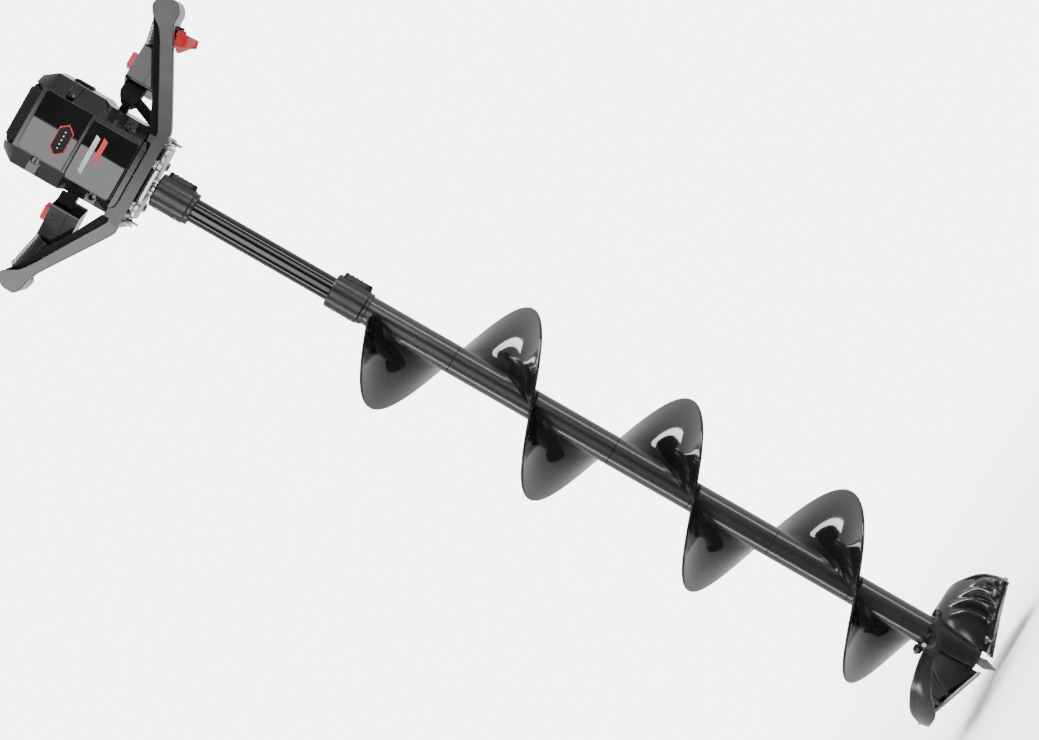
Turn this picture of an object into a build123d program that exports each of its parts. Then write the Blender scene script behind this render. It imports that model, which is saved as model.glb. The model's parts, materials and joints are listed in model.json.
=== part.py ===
from build123d import *

import math
import os

# Battery ice auger: powerhead with two handles, extension tube and 8 inch auger.
# Millimetres. +Z is up along the auger's axis, the origin is the tip of the centre point,
# -Y is the front of the powerhead and +X its trigger side.

os.makedirs("parts", exist_ok=True)

# ---------------------------------------------------------------- driving dimensions
wall = 3.0
fit = 0.05                      # radial clearance of a running or sliding fit

# housing: an eight-sided block, a wide battery bay over a narrower gear housing
housing_x = 4.0                 # the housing's centre, beside the spindle axis
housing_bottom = 1154.0
bay_bottom = 1216.0
bay_shoulder = 1278.0           # top of the side walls, where the corner bumpers start
bumper_top = 1293.0
housing_top = 1296.5
gear_half_width = 55.0
bay_half_width = 58.5
housing_half_depth = 60.0
panel_half_width = 38.0         # flat front between the chamfered corners
screw_head_y = -46.0            # where the sunk heads of the shell screws bear
boss_end_y = 4.0
latch_y = 20.5
latch_width = 27.0
latch_z = 1252.0
latch_height = 24.0

# battery pack, slid down into its well
pack_half_width = 33.0
pack_half_depth = 42.0
pack_bottom = 1219.0
pack_top = 1290.0
cap_bottom = 1282.5
cell_radius = 9.2
cell_length = 65.0

# handle bow
frame_bottom = 1131.5
frame_rim_top = 1145.0
frame_top = housing_bottom
bow_front = -50.0
bar_half_width = 58.0
wing_sweep = 14.0               # degrees that the wings lean back
wing_depth = 18.0
flange_set_back = 8.0

# base plate under the frame
plate_x = 3.5
plate_bottom = 1123.8
plate_top = 1128.4

# grips and switch boxes, on a line that leans back from the housing
grip_sweep = 17.0
grip_radius = 16.2
arm_radius = 11.0
box_depth = 41.0
box_bottom = 1178.0
box_top = 1214.5
box_seam = 1192.6

# trigger, hung on a pin between two lugs under the right grip
trigger_distance = 78.0         # along the grip's axis from the box's inner wall
trigger_width = 9.0
pin_forward = -4.0              # the pin lies under the grip, a little behind its middle
pin_drop = 19.5
pin_radius = 1.6
lug_thickness = 2.0
lug_gap = trigger_width / 2 + 1.5

# gear train: two stages of 48 on 12 teeth, back to the spindle's own axis
module = 1.0
wheel_teeth = 48
pinion_teeth = 12
pressure_angle = 25.0
backlash = 0.14
gear_face = 9.0
gear_shaft_radius = 4.0
centre_distance = module * (wheel_teeth + pinion_teeth) / 2
layshaft_direction = 120.0       # degrees round from +X, behind and left of the spindle
layshaft_x = centre_distance * math.cos(math.radians(layshaft_direction))
layshaft_y = centre_distance * math.sin(math.radians(layshaft_direction))
first_stage_z = 1171.0          # motor pinion and layshaft gear
last_stage_z = 1160.0           # layshaft pinion and output gear
gearbox_radius = 28.0           # round each gear axis
gearbox_floor = 1158.5
gearbox_top = 1184.0
nose_radius = 22.0
small_bearing_radius = 7.5      # outer radius of the layshaft's and the motor's bearings
spindle_bearing_radius = 18.0

# motor, upright on the gearbox cover
motor_radius = 40.0
motor_bottom = 1188.5
motor_top = 1216.0
rotor_bottom = 1193.0
rotor_height = 15.0
stator_bottom = 1194.0
stator_height = 13.0
stator_teeth = 9
tooth_middle = 27.5             # radius of the middle of a stator tooth

# spindle, collars and tubes
spindle_radius = 12.0
tube_radius = 14.45
tube_bore = spindle_radius + fit
core_radius = 17.6
core_liner_radius = 15.6
collar_radius = 20.8
upper_collar_bottom = 1070.0
upper_collar_top = 1119.5
lower_collar_bottom = 838.0
lower_collar_top = 886.5

# auger
flight_radius = 97.0
flight_pitch = 212.0
flight_tip_thickness = 3.6
flight_root_thickness = 15.0
section_count = 7
section_height = flight_pitch / 2
flight_top = 830.0
head_top = flight_top - section_count * section_height
cut_radius = 101.6


def front_plane(y):
    """Upright plane at depth y, seen from the front: local x is X and local y is Z."""
    return Plane(origin=(0, y, 0), x_dir=(1, 0, 0), z_dir=(0, -1, 0))


def side_plane(side, start_x, start_y, sweep):
    """Upright plane along a handle: local x runs outwards and leans back by sweep."""
    angle = math.radians(sweep)
    outwards = (side * math.cos(angle), math.sin(angle), 0)
    normal = (math.sin(angle), -side * math.cos(angle), 0)
    return Plane(origin=(side * start_x, start_y, 0), x_dir=outwards, z_dir=normal)


# ---------------------------------------------------------------- powerhead housing
def housing_outline(half_width, inset):
    """Eight-sided outline of the housing, drawn inset from its outer face."""
    half = half_width - inset
    depth = housing_half_depth - inset
    flat = panel_half_width - inset * math.tan(math.radians(22.5))
    corner_y = depth - 24.0
    corners = [(half, corner_y), (flat, depth), (-flat, depth), (-half, corner_y)]
    corners += [(-x, -y) for x, y in corners]
    with BuildSketch(Plane.XY, mode=Mode.PRIVATE) as outline:
        with Locations((housing_x, 0)):
            Polygon(*corners, align=None)
    return outline.sketch


def make_housing():
    """Front and rear shell, split on the spindle's plane, with the corner bumpers on top."""
    with BuildPart() as block:
        with BuildSketch(Plane.XY.offset(housing_bottom)):
            add(housing_outline(gear_half_width, 0))
        extrude(amount=bay_bottom - 8 - housing_bottom)
        with BuildSketch(Plane.XY.offset(bay_bottom - 8)):
            add(housing_outline(gear_half_width, 0))
        with BuildSketch(Plane.XY.offset(bay_bottom)):
            add(housing_outline(bay_half_width, 0))
        loft(ruled=True)
        with BuildSketch(Plane.XY.offset(bay_bottom)):
            add(housing_outline(bay_half_width, 0))
        extrude(amount=bay_shoulder - bay_bottom)
        with BuildSketch(Plane.XY.offset(bay_shoulder)):
            add(housing_outline(bay_half_width, 0))
        with BuildSketch(Plane.XY.offset(bumper_top)):
            add(housing_outline(bay_half_width - 11, 0))
        loft(ruled=True)

    with BuildPart() as hollow:
        with BuildSketch(Plane.XY.offset(housing_bottom)):
            add(housing_outline(gear_half_width, wall))
        extrude(amount=bay_bottom - housing_bottom)
        with BuildSketch(Plane.XY.offset(bay_bottom)):
            add(housing_outline(bay_half_width, wall))
        extrude(amount=bay_shoulder - bay_bottom)
        # the cap's bay between the bumpers, open at the top, front and rear
        with BuildSketch(Plane.XY.offset(cap_bottom)):
            with Locations((housing_x, 0)):
                Rectangle(2 * pack_half_width + 10, 2 * housing_half_depth + 2)
        extrude(amount=housing_top - cap_bottom)
        # the well's mouth
        with BuildSketch(Plane.XY.offset(bay_shoulder)):
            with Locations((housing_x, 0)):
                Rectangle(2 * pack_half_width + 4.4, 2 * pack_half_depth + 4.4)
        extrude(amount=housing_top - bay_shoulder)
        # window of the battery latch in the right wall
        with Locations((housing_x + bay_half_width, latch_y, latch_z)):
            Box(3 * wall, latch_width + 1, latch_height + 1)

    halves = {"housing_front": -1, "housing_rear": 1}
    for label, way in halves.items():
        with BuildPart() as shell:
            add(block.part)
            add(hollow.part, mode=Mode.SUBTRACT)
            for x, z, half_width in screw_places():
                side = math.copysign(1, x - housing_x)
                inner = x - side * 4.5
                outer = housing_x + side * (half_width - 1)
                with Locations(((inner + outer) / 2, (screw_head_y + boss_end_y) / 2 - 2, z)):
                    Box(abs(outer - inner), boss_end_y - screw_head_y + 4, 13)
            with Locations((housing_x, way * (housing_half_depth + 5), 1220)):
                Box(200, 2 * (housing_half_depth + 5), 200, mode=Mode.INTERSECT)
            for x, z, _ in screw_places():
                head = Plane(origin=(x, screw_head_y, z), x_dir=(1, 0, 0), z_dir=(0, -1, 0))
                with BuildSketch(head):
                    Circle(5.2)
                extrude(amount=30, mode=Mode.SUBTRACT)
                with BuildSketch(head):
                    Circle(3.0)
                extrude(amount=screw_head_y - boss_end_y - 1, mode=Mode.SUBTRACT)
        shell.part.label = label
        export_step(shell.part, f"parts/{label}.step")


def screw_places():
    """Centres of the shell screws as x and z, with the housing's half width there."""
    return [(housing_x + 41.5, 1251.0, bay_half_width), (housing_x - 41.5, 1251.0, bay_half_width),
            (housing_x + 45.0, 1175.0, gear_half_width), (housing_x - 45.0, 1175.0, gear_half_width)]


def make_shell_screws():
    """Screws in bosses through both shells, each with its slotted head at the front."""
    with BuildPart() as shell_screws:
        for x, z, _ in screw_places():
            head = Plane(origin=(x, screw_head_y, z), x_dir=(1, 0, 0), z_dir=(0, -1, 0))
            with BuildSketch(head):
                Circle(5.0)
            extrude(amount=2.5)
            with BuildSketch(head):
                Circle(2.9)
            extrude(amount=screw_head_y - boss_end_y)
            with BuildSketch(head.offset(2.5)):
                Rectangle(8.0, 1.2)
            extrude(amount=-1.2, mode=Mode.SUBTRACT)
    shell_screws.part.label = "shell_screws"
    export_step(shell_screws.part, "parts/shell_screws.step")


def make_lower_panel():
    """Raised panel on the front of the gear housing, with rounded upper corners."""
    with BuildPart() as lower_panel:
        with BuildSketch(front_plane(-housing_half_depth)):
            with Locations((housing_x - 3.5, (housing_bottom + 0.5 + bay_bottom - 1) / 2)):
                RectangleRounded(2 * panel_half_width, bay_bottom - housing_bottom - 1.5, 5)
        extrude(amount=2.5)
        chamfer(lower_panel.faces().sort_by(Axis.Y)[0].edges(), length=1.2)
    lower_panel.part.label = "lower_panel"
    export_step(lower_panel.part, "parts/lower_panel.step")


make_housing()
make_shell_screws()
make_lower_panel()


# ---------------------------------------------------------------- battery pack and its well
def make_battery_well():
    """Open-topped box that guides the pack, standing on the motor can."""
    with BuildPart() as battery_well:
        with Locations((housing_x, 0, pack_bottom - 2)):
            Box(2 * pack_half_width + 4, 2 * pack_half_depth + 4, bay_shoulder - pack_bottom + 2,
                align=(Align.CENTER, Align.CENTER, Align.MIN))
        with Locations((housing_x, 0, pack_bottom)):
            Box(2 * pack_half_width + 1, 2 * pack_half_depth + 1, bay_shoulder,
                align=(Align.CENTER, Align.CENTER, Align.MIN), mode=Mode.SUBTRACT)
    battery_well.part.label = "battery_well"
    export_step(battery_well.part, "parts/battery_well.step")


def make_bay_contacts():
    """Four spring-leaf contacts on the floor of the well, under the pack's edge."""
    with BuildPart() as bay_contacts:
        with Locations((housing_x, -pack_half_depth + 7, pack_bottom)):
            with GridLocations(12, 0, 4, 1):
                Box(5, 6, 2.5, align=(Align.CENTER, Align.CENTER, Align.MIN))
    bay_contacts.part.label = "bay_contacts"
    export_step(bay_contacts.part, "parts/bay_contacts.step")


def make_battery_case():
    """Hollow case round the cells, with a pocket under its front edge for the contacts."""
    with BuildPart() as battery_case:
        with Locations((housing_x, 0, pack_bottom)):
            Box(2 * pack_half_width, 2 * pack_half_depth, pack_top - pack_bottom,
                align=(Align.CENTER, Align.CENTER, Align.MIN))
        fillet(battery_case.edges().filter_by(Axis.Z), radius=4)
        with Locations((housing_x, 0, pack_bottom + 3)):
            Box(2 * pack_half_width - 4, 2 * pack_half_depth - 4, cell_length + 1,
                align=(Align.CENTER, Align.CENTER, Align.MIN), mode=Mode.SUBTRACT)
        with Locations((housing_x, -pack_half_depth + 7, pack_bottom)):
            Box(46, 8, 2.8, align=(Align.CENTER, Align.CENTER, Align.MIN), mode=Mode.SUBTRACT)
    battery_case.part.label = "battery_case"
    export_step(battery_case.part, "parts/battery_case.step")


def make_battery_cells():
    """Twelve upright cells, three by four."""
    with BuildPart() as battery_cells:
        with Locations((housing_x, 0, pack_bottom + 3.5)):
            with GridLocations(20.5, 19.8, 3, 4):
                Cylinder(radius=cell_radius, height=cell_length,
                         align=(Align.CENTER, Align.CENTER, Align.MIN))
    battery_cells.part.label = "battery_cells"
    export_step(battery_cells.part, "parts/battery_cells.step")


def make_battery_cap():
    """Black cap on the pack, tapered towards its flat top, that fills the bay's mouth."""
    with BuildPart() as battery_cap:
        with BuildSketch(Plane.XY.offset(cap_bottom)):
            with Locations((housing_x - 2, 0)):
                RectangleRounded(70.5, 2 * housing_half_depth - 3, 4)
        with BuildSketch(Plane.XY.offset(housing_top)):
            with Locations((housing_x - 0.5, 0)):
                RectangleRounded(62.4, 2 * housing_half_depth - 16, 4)
        loft()
        with Locations((housing_x, 0, cap_bottom)):
            Box(2 * pack_half_width + 0.2, 2 * pack_half_depth + 0.2, pack_top - cap_bottom,
                align=(Align.CENTER, Align.CENTER, Align.MIN), mode=Mode.SUBTRACT)
    battery_cap.part.label = "battery_cap"
    export_step(battery_cap.part, "parts/battery_cap.step")


def make_battery_latch():
    """Ribbed push pad in the right wall, with an arm that reaches in towards the pack."""
    pad_x = housing_x + bay_half_width
    with BuildPart() as battery_latch:
        with Locations((pad_x - 1.0, latch_y, latch_z)):
            Box(6.0, latch_width, latch_height)
        with Locations((pad_x + 2, latch_y, latch_z)):
            for step in range(5):
                with Locations((0, 0, -8 + 4 * step)):
                    Box(1.2, latch_width - 2, 1.6)
        with Locations((pad_x - 8, latch_y, latch_z)):
            Box(10, 10, 5)
    battery_latch.part.label = "battery_latch"
    export_step(battery_latch.part, "parts/battery_latch.step")


# ---------------------------------------------------------------- gears and motor
def gear_outline(teeth, phase):
    """Spur gear outline with straight flanks; phase turns it, in tooth pitches."""
    pitch_radius = module * teeth / 2
    base_half_angle = (math.pi * module / 2 - backlash) / (2 * pitch_radius)
    tip = pitch_radius + 0.9 * module
    root = pitch_radius - 1.15 * module
    slope = math.tan(math.radians(pressure_angle))
    tip_half_angle = base_half_angle - 0.9 * module * slope / pitch_radius
    root_half_angle = base_half_angle + 0.75 * module * slope / pitch_radius
    points = []
    for tooth in range(teeth):
        centre = 2 * math.pi * (tooth + phase) / teeth
        for radius, angle in ((root, -root_half_angle), (tip, -tip_half_angle),
                              (tip, tip_half_angle), (root, root_half_angle)):
            points.append((radius * math.cos(centre + angle), radius * math.sin(centre + angle)))
    return points


def make_output_gear():
    """Big gear of the last stage, on the spindle."""
    with BuildPart() as output_gear:
        with BuildSketch(Plane.XY.offset(last_stage_z)):
            phase = mesh_phase(wheel_teeth, layshaft_direction)
            Polygon(*gear_outline(wheel_teeth, phase), align=None)
            Circle(spindle_radius - 3, mode=Mode.SUBTRACT)
        extrude(amount=gear_face)
    output_gear.part.label = "output_gear"
    export_step(output_gear.part, "parts/output_gear.step")


def mesh_phase(teeth, direction):
    """Phase, in tooth pitches, that points a tooth along a direction in degrees."""
    return direction / 360 * teeth


def make_layshaft():
    """Layshaft with its own 12-tooth pinion and two journals."""
    with BuildPart() as layshaft:
        with BuildSketch(Plane.XY.offset(last_stage_z - 0.5)):
            with Locations((layshaft_x, layshaft_y)):
                phase = mesh_phase(pinion_teeth, layshaft_direction - 180) + 0.5
                Polygon(*gear_outline(pinion_teeth, phase), align=None)
        extrude(amount=gear_face + 1)
        with Locations((layshaft_x, layshaft_y, last_stage_z - 3.8)):
            Cylinder(radius=gear_shaft_radius, height=28.0, align=(Align.CENTER, Align.CENTER, Align.MIN))
    layshaft.part.label = "layshaft"
    export_step(layshaft.part, "parts/layshaft.step")


def make_layshaft_gear():
    """Big gear of the first stage, pressed on the layshaft."""
    with BuildPart() as layshaft_gear:
        with BuildSketch(Plane.XY.offset(first_stage_z)):
            with Locations((layshaft_x, layshaft_y)):
                phase = mesh_phase(wheel_teeth, layshaft_direction - 180)
                Polygon(*gear_outline(wheel_teeth, phase), align=None)
                Circle(gear_shaft_radius, mode=Mode.SUBTRACT)
        extrude(amount=gear_face - 1)
    layshaft_gear.part.label = "layshaft_gear"
    export_step(layshaft_gear.part, "parts/layshaft_gear.step")


def make_motor_shaft():
    """Motor shaft with the 12-tooth first pinion at its lower end."""
    with BuildPart() as motor_shaft:
        with BuildSketch(Plane.XY.offset(first_stage_z)):
            phase = mesh_phase(pinion_teeth, layshaft_direction) + 0.5
            Polygon(*gear_outline(pinion_teeth, phase), align=None)
        extrude(amount=gear_face)
        with Locations((0, 0, first_stage_z)):
            Cylinder(radius=gear_shaft_radius, height=motor_top - 3.5 - first_stage_z,
                     align=(Align.CENTER, Align.CENTER, Align.MIN))
    motor_shaft.part.label = "motor_shaft"
    export_step(motor_shaft.part, "parts/motor_shaft.step")


def make_motor():
    """Rotor, stator with nine teeth and their windings, and the can over them."""
    with BuildPart() as motor_rotor:
        with Locations((0, 0, rotor_bottom)):
            Cylinder(radius=20.0, height=rotor_height,
                     align=(Align.CENTER, Align.CENTER, Align.MIN))
            Cylinder(radius=gear_shaft_radius, height=rotor_height, mode=Mode.SUBTRACT,
                     align=(Align.CENTER, Align.CENTER, Align.MIN))
    motor_rotor.part.label = "motor_rotor"
    export_step(motor_rotor.part, "parts/motor_rotor.step")

    with BuildPart() as motor_stator:
        with BuildSketch(Plane.XY.offset(stator_bottom)):
            Circle(motor_radius - 2)
            Circle(motor_radius - 7, mode=Mode.SUBTRACT)
            with PolarLocations(tooth_middle, stator_teeth):
                Rectangle(13.0, 6.0)
        extrude(amount=stator_height)
    motor_stator.part.label = "motor_stator"
    export_step(motor_stator.part, "parts/motor_stator.step")

    with BuildPart() as motor_windings:
        with BuildSketch(Plane.XY.offset(stator_bottom - 2)):
            with PolarLocations(tooth_middle, stator_teeth):
                Rectangle(8.0, 13.0)
        extrude(amount=stator_height + 4)
        with BuildSketch(Plane.XY.offset(stator_bottom)):
            with PolarLocations(tooth_middle, stator_teeth):
                Rectangle(9.0, 6.0)
        extrude(amount=stator_height, mode=Mode.SUBTRACT)
    motor_windings.part.label = "motor_windings"
    export_step(motor_windings.part, "parts/motor_windings.step")

    with BuildPart() as motor_can:
        with Locations((0, 0, motor_bottom)):
            Cylinder(radius=motor_radius, height=motor_top - motor_bottom,
                     align=(Align.CENTER, Align.CENTER, Align.MIN))
            Cylinder(radius=motor_radius - 2, height=motor_top - motor_bottom - 2.5,
                     align=(Align.CENTER, Align.CENTER, Align.MIN), mode=Mode.SUBTRACT)
        # bearing seat inside the top
        with Locations((0, 0, motor_top - 6.5)):
            Cylinder(radius=small_bearing_radius + 2.5, height=6.5,
                     align=(Align.CENTER, Align.CENTER, Align.MIN))
        with Locations((0, 0, motor_top - 8)):
            Cylinder(radius=small_bearing_radius, height=5.5, mode=Mode.SUBTRACT,
                     align=(Align.CENTER, Align.CENTER, Align.MIN))
    motor_can.part.label = "motor_can"
    export_step(motor_can.part, "parts/motor_can.step")


def gearbox_outline(radius):
    """Slot-shaped outline round both gear axes."""
    with BuildSketch(Plane.XY, mode=Mode.PRIVATE) as outline:
        with Locations(Location((layshaft_x / 2, layshaft_y / 2, 0), (0, 0, layshaft_direction))):
            SlotCenterToCenter(centre_distance, 2 * radius)
    return outline.sketch


def make_gearbox():
    """Case with the nose that holds the spindle's bearings and seal, and its cover."""
    with BuildPart() as gearbox_case:
        with BuildSketch(Plane.XY.offset(housing_bottom + 0.5)):
            add(gearbox_outline(gearbox_radius))
        extrude(amount=gearbox_top - housing_bottom - 0.5)
        with Locations((0, 0, frame_bottom)):
            Cylinder(radius=nose_radius, height=gearbox_floor - frame_bottom,
                     align=(Align.CENTER, Align.CENTER, Align.MIN))
        with BuildSketch(Plane.XY.offset(gearbox_floor)):
            add(gearbox_outline(gearbox_radius - 2.4))
        extrude(amount=gearbox_top - gearbox_floor, mode=Mode.SUBTRACT)
        # bearing bore in the nose, the spindle's way through and the layshaft's seat
        with Locations((0, 0, frame_bottom - 1)):
            Cylinder(radius=spindle_bearing_radius, height=25.5, mode=Mode.SUBTRACT,
                     align=(Align.CENTER, Align.CENTER, Align.MIN))
            Cylinder(radius=spindle_radius + 1, height=60.0, mode=Mode.SUBTRACT)
        with Locations((layshaft_x, layshaft_y, gearbox_floor - 2.5)):
            Cylinder(radius=small_bearing_radius, height=10.0, mode=Mode.SUBTRACT,
                     align=(Align.CENTER, Align.CENTER, Align.MIN))
    gearbox_case.part.label = "gearbox_case"
    export_step(gearbox_case.part, "parts/gearbox_case.step")

    with BuildPart() as gearbox_cover:
        with BuildSketch(Plane.XY.offset(gearbox_top)):
            add(gearbox_outline(gearbox_radius))
            Circle(motor_radius)
        extrude(amount=motor_bottom - gearbox_top)
        with Locations((0, 0, gearbox_top - 4)):
            Cylinder(radius=small_bearing_radius, height=20.0, mode=Mode.SUBTRACT,
                     align=(Align.CENTER, Align.CENTER, Align.MIN))
        with Locations((layshaft_x, layshaft_y, gearbox_top - 4)):
            Cylinder(radius=small_bearing_radius, height=6.5, mode=Mode.SUBTRACT,
                     align=(Align.CENTER, Align.CENTER, Align.MIN))
    gearbox_cover.part.label = "gearbox_cover"
    export_step(gearbox_cover.part, "parts/gearbox_cover.step")


def ring(x, y, bottom, outer, bore, height):
    """A flat ring standing on the height bottom."""
    with BuildPart() as flat_ring:
        with BuildSketch(Plane.XY.offset(bottom)):
            with Locations((x, y)):
                Circle(outer)
                Circle(bore, mode=Mode.SUBTRACT)
        extrude(amount=height)
    return flat_ring.part


def make_bearings():
    """Ball bearings as plain rings: spindle pair, layshaft pair and motor shaft pair."""
    bore = spindle_radius + fit
    small_bore = gear_shaft_radius + fit
    rings = [ring(0, 0, frame_bottom + rise, spindle_bearing_radius, bore, 8.0) for rise in (5.5, 16)]
    rings += [ring(layshaft_x, layshaft_y, bottom, small_bearing_radius, small_bore, height)
              for bottom, height in ((gearbox_floor - 2.3, 2.2), (gearbox_top - 2.5, 4.5))]
    rings += [ring(0, 0, bottom, small_bearing_radius, small_bore, 4.0)
              for bottom in (gearbox_top + 0.2, motor_top - 7)]
    with BuildPart() as bearings:
        add(rings)
    bearings.part.label = "bearings"
    export_step(bearings.part, "parts/bearings.step")

    seal = ring(0, 0, frame_bottom + 0.5, spindle_bearing_radius, bore, 4.5)
    with BuildPart() as shaft_seal:
        add(seal)
    shaft_seal.part.label = "shaft_seal"
    export_step(shaft_seal.part, "parts/shaft_seal.step")


def make_controller_board():
    """Motor controller on its heat spreader, upright behind the front panel."""
    with BuildPart() as controller_board:
        with Locations((housing_x, -51.0, 1185)):
            Box(66, 1.6, 50)
        with Locations((housing_x, -48.7, 1185)):
            Box(56, 3.0, 14)
        with Locations((housing_x, -47.7, 1202)):
            with GridLocations(16, 0, 3, 1):
                Box(9, 5.0, 9)
    controller_board.part.label = "controller_board"
    export_step(controller_board.part, "parts/controller_board.step")


make_battery_well()
make_bay_contacts()
make_battery_case()
make_battery_cells()
make_battery_cap()
make_battery_latch()
make_output_gear()
make_layshaft()
make_layshaft_gear()
make_motor_shaft()
make_motor()
make_gearbox()
make_bearings()
make_controller_board()


# ---------------------------------------------------------------- handle bow
# Outlines of the wings seen from the front, X outwards from the axis and Z up.
# The right wing is longer and flatter than the left.
wing_face = {
    -1: [(58, 1131.5), (67, 1132), (92, 1148.5), (138, 1179.5), (158, 1192.5), (172, 1200),
         (172, 1227), (168.5, 1225), (156, 1205), (92, 1166), (58, 1145)],
    1: [(58, 1131.5), (67, 1131.5), (92, 1145.5), (138, 1172), (176, 1195), (180, 1200),
        (180, 1225), (168.5, 1213), (161, 1203), (92, 1164), (58, 1145)],
}
lobe_face = {
    -1: [(166, 1196), (176, 1195.5), (185, 1201), (186.5, 1214), (184.5, 1220.5), (172.5, 1228),
         (167, 1224)],
    1: [(170, 1193), (176, 1195), (189, 1193), (198.5, 1200.5), (200.5, 1209), (189.5, 1226),
        (185, 1226.5), (173, 1220)],
}
lobe_front = -23.0
lobe_depth = 80.0
flange_thickness = 6.0
flange_face = {
    -1: [(54, 1143), (92, 1163), (156, 1203), (170, 1222), (166, 1224), (156, 1215.5),
         (92, 1176), (54, 1154)],
    1: [(64, 1145), (92, 1161), (161, 1200), (172, 1216), (168, 1218), (161, 1212.5),
        (92, 1173), (64, 1158.5)],
}


def along(points, start_x, sweep):
    """Stretch an outline drawn from the front onto a plane that leans back by sweep."""
    lean = math.cos(math.radians(sweep))
    return [((x - start_x) / lean, z) for x, z in points]


def hex_bolt_places():
    """Centres of the four hex bolts beside the base plate."""
    return [(x, y) for x in (-28.3, 26.0) for y in (-38.0, 38.0)]


def small_screw_places():
    """Centres of the small screws outside the base plate."""
    return [(54.5, -30.0), (54.5, 30.0), (-50.0, -30.0), (-50.0, 30.0)]


def make_handle_frame():
    """Moulded bow: tray under the housing, two swept wings with a set-back flange, end lobes."""
    with BuildPart() as handle_frame:
        with BuildSketch(front_plane(bow_front)):
            Polygon((-67, frame_bottom), (67, frame_bottom), (bar_half_width, frame_rim_top),
                    (-bar_half_width, frame_rim_top), align=None)
        extrude(amount=-100)
        with Locations((0, 4, frame_bottom)):
            Box(2 * 55, 92, frame_top - frame_bottom, align=(Align.CENTER, Align.CENTER, Align.MIN))
        for side in (-1, 1):
            face = side_plane(side, bar_half_width, bow_front, wing_sweep)
            with BuildSketch(face):
                Polygon(*along(wing_face[side], bar_half_width, wing_sweep), align=None)
            extrude(amount=-side * wing_depth)
            with BuildSketch(front_plane(lobe_front)):
                Polygon(*[(side * x, z) for x, z in lobe_face[side]], align=None)
            extrude(amount=-lobe_depth)
            with BuildSketch(face.offset(-side * flange_set_back)):
                Polygon(*along(flange_face[side], bar_half_width, wing_sweep), align=None)
            extrude(amount=-side * flange_thickness)
        # pad for the base plate, bore for the gearbox nose and holes for the bolts
        with Locations((plate_x, 0, plate_top)):
            Box(86, 60, frame_bottom - plate_top, align=(Align.CENTER, Align.CENTER, Align.MIN))
        with Locations((0, 0, plate_top)):
            Cylinder(radius=nose_radius + fit, height=40, mode=Mode.SUBTRACT,
                     align=(Align.CENTER, Align.CENTER, Align.MIN))
        for x, y in hex_bolt_places():
            with Locations((x, y, frame_bottom)):
                Cylinder(radius=3.0, height=20, mode=Mode.SUBTRACT,
                         align=(Align.CENTER, Align.CENTER, Align.MIN))
        for x, y in small_screw_places():
            with Locations((x, y, frame_bottom)):
                Cylinder(radius=1.7, height=12, mode=Mode.SUBTRACT,
                         align=(Align.CENTER, Align.CENTER, Align.MIN))
        # clearance round the grips' arms
        for side in (-1, 1):
            with BuildSketch(arm_plane(side, box_length(side) + 4)):
                Circle(arm_radius + fit)
            extrude(amount=arm_length(side), mode=Mode.SUBTRACT)
            with BuildSketch(arm_plane(side, box_length(side) + 4)):
                Circle(grip_radius + 0.3)
            extrude(amount=grip_length(side) + 1, mode=Mode.SUBTRACT)
        with BuildSketch(arm_plane(1, trigger_distance)):
            with Locations((pin_forward, pin_drop)):
                Rectangle(34, 22)
        extrude(amount=lug_gap + lug_thickness + 1.5, both=True, mode=Mode.SUBTRACT)
    handle_frame.part.label = "handle_frame"
    export_step(handle_frame.part, "parts/handle_frame.step")


# ---------------------------------------------------------------- grips and switch boxes
box_inner_x = {-1: 67.0, 1: 89.0}
box_outer_x = {-1: 109.5, 1: 134.0}
lobe_inner_x = {-1: 166.0, 1: 170.0}
grip_line_y = {-1: 8.0, 1: 14.0}
arm_slope = 13.0                # degrees that the grips rise outwards
arm_start_z = 1199.0


def box_length(side):
    """Length of a switch box along its handle line."""
    return (box_outer_x[side] - box_inner_x[side]) / math.cos(math.radians(grip_sweep))


def arm_length(side):
    """Length of the arm from the box's outer wall to its seat in the lobe."""
    reach = (lobe_inner_x[side] + 10 - box_outer_x[side]) / math.cos(math.radians(grip_sweep))
    return reach / math.cos(math.radians(arm_slope))


def grip_length(side):
    """Length of the rubber sleeve between the switch box and the lobe."""
    reach = (lobe_inner_x[side] - box_outer_x[side]) / math.cos(math.radians(grip_sweep))
    return reach / math.cos(math.radians(arm_slope)) - 7


def handle_plane(side):
    """Upright plane through a grip's axis, starting at the switch box's inner wall."""
    return side_plane(side, box_inner_x[side], grip_line_y[side], grip_sweep)


def arm_plane(side, distance):
    """Plane across a grip's axis, the given distance out from the box's inner wall."""
    upright = handle_plane(side)
    outwards = upright.x_dir
    rise = math.radians(arm_slope)
    axis = outwards * math.cos(rise) + Vector(0, 0, math.sin(rise))
    start = upright.origin + outwards * distance
    past_box = distance - box_length(side)
    start = start + Vector(0, 0, arm_start_z + past_box * math.tan(rise))
    return Plane(origin=start, x_dir=upright.z_dir, z_dir=axis)


def box_block(side, inset, bottom, top):
    """Solid of a switch box, drawn inset from its outer faces, between two heights."""
    length = box_length(side)
    with BuildPart() as block:
        with BuildSketch(handle_plane(side)):
            with Locations((length / 2, (bottom + top) / 2)):
                Rectangle(length - 2 * inset, top - bottom)
        extrude(amount=box_depth / 2 - inset, both=True)
        if inset == 0:
            fillet(block.edges().filter_by(Axis.Z), radius=3)
    return block.part


def arm_rod(side, radius, start, length):
    """Round bar along a grip's axis, from start past the box's inner wall."""
    with BuildPart() as rod:
        with BuildSketch(arm_plane(side, start)):
            Circle(radius)
        extrude(amount=length)
    return rod.part


button_distance = {-1: 20.5, 1: 26.0}


def button_plane(side, height):
    """Level plane over a switch box at its button's centre, turned with the box."""
    upright = handle_plane(side)
    centre = upright.origin + upright.x_dir * button_distance[side] + Vector(0, 0, height)
    return Plane(origin=centre, x_dir=upright.x_dir, z_dir=(0, 0, 1))


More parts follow.
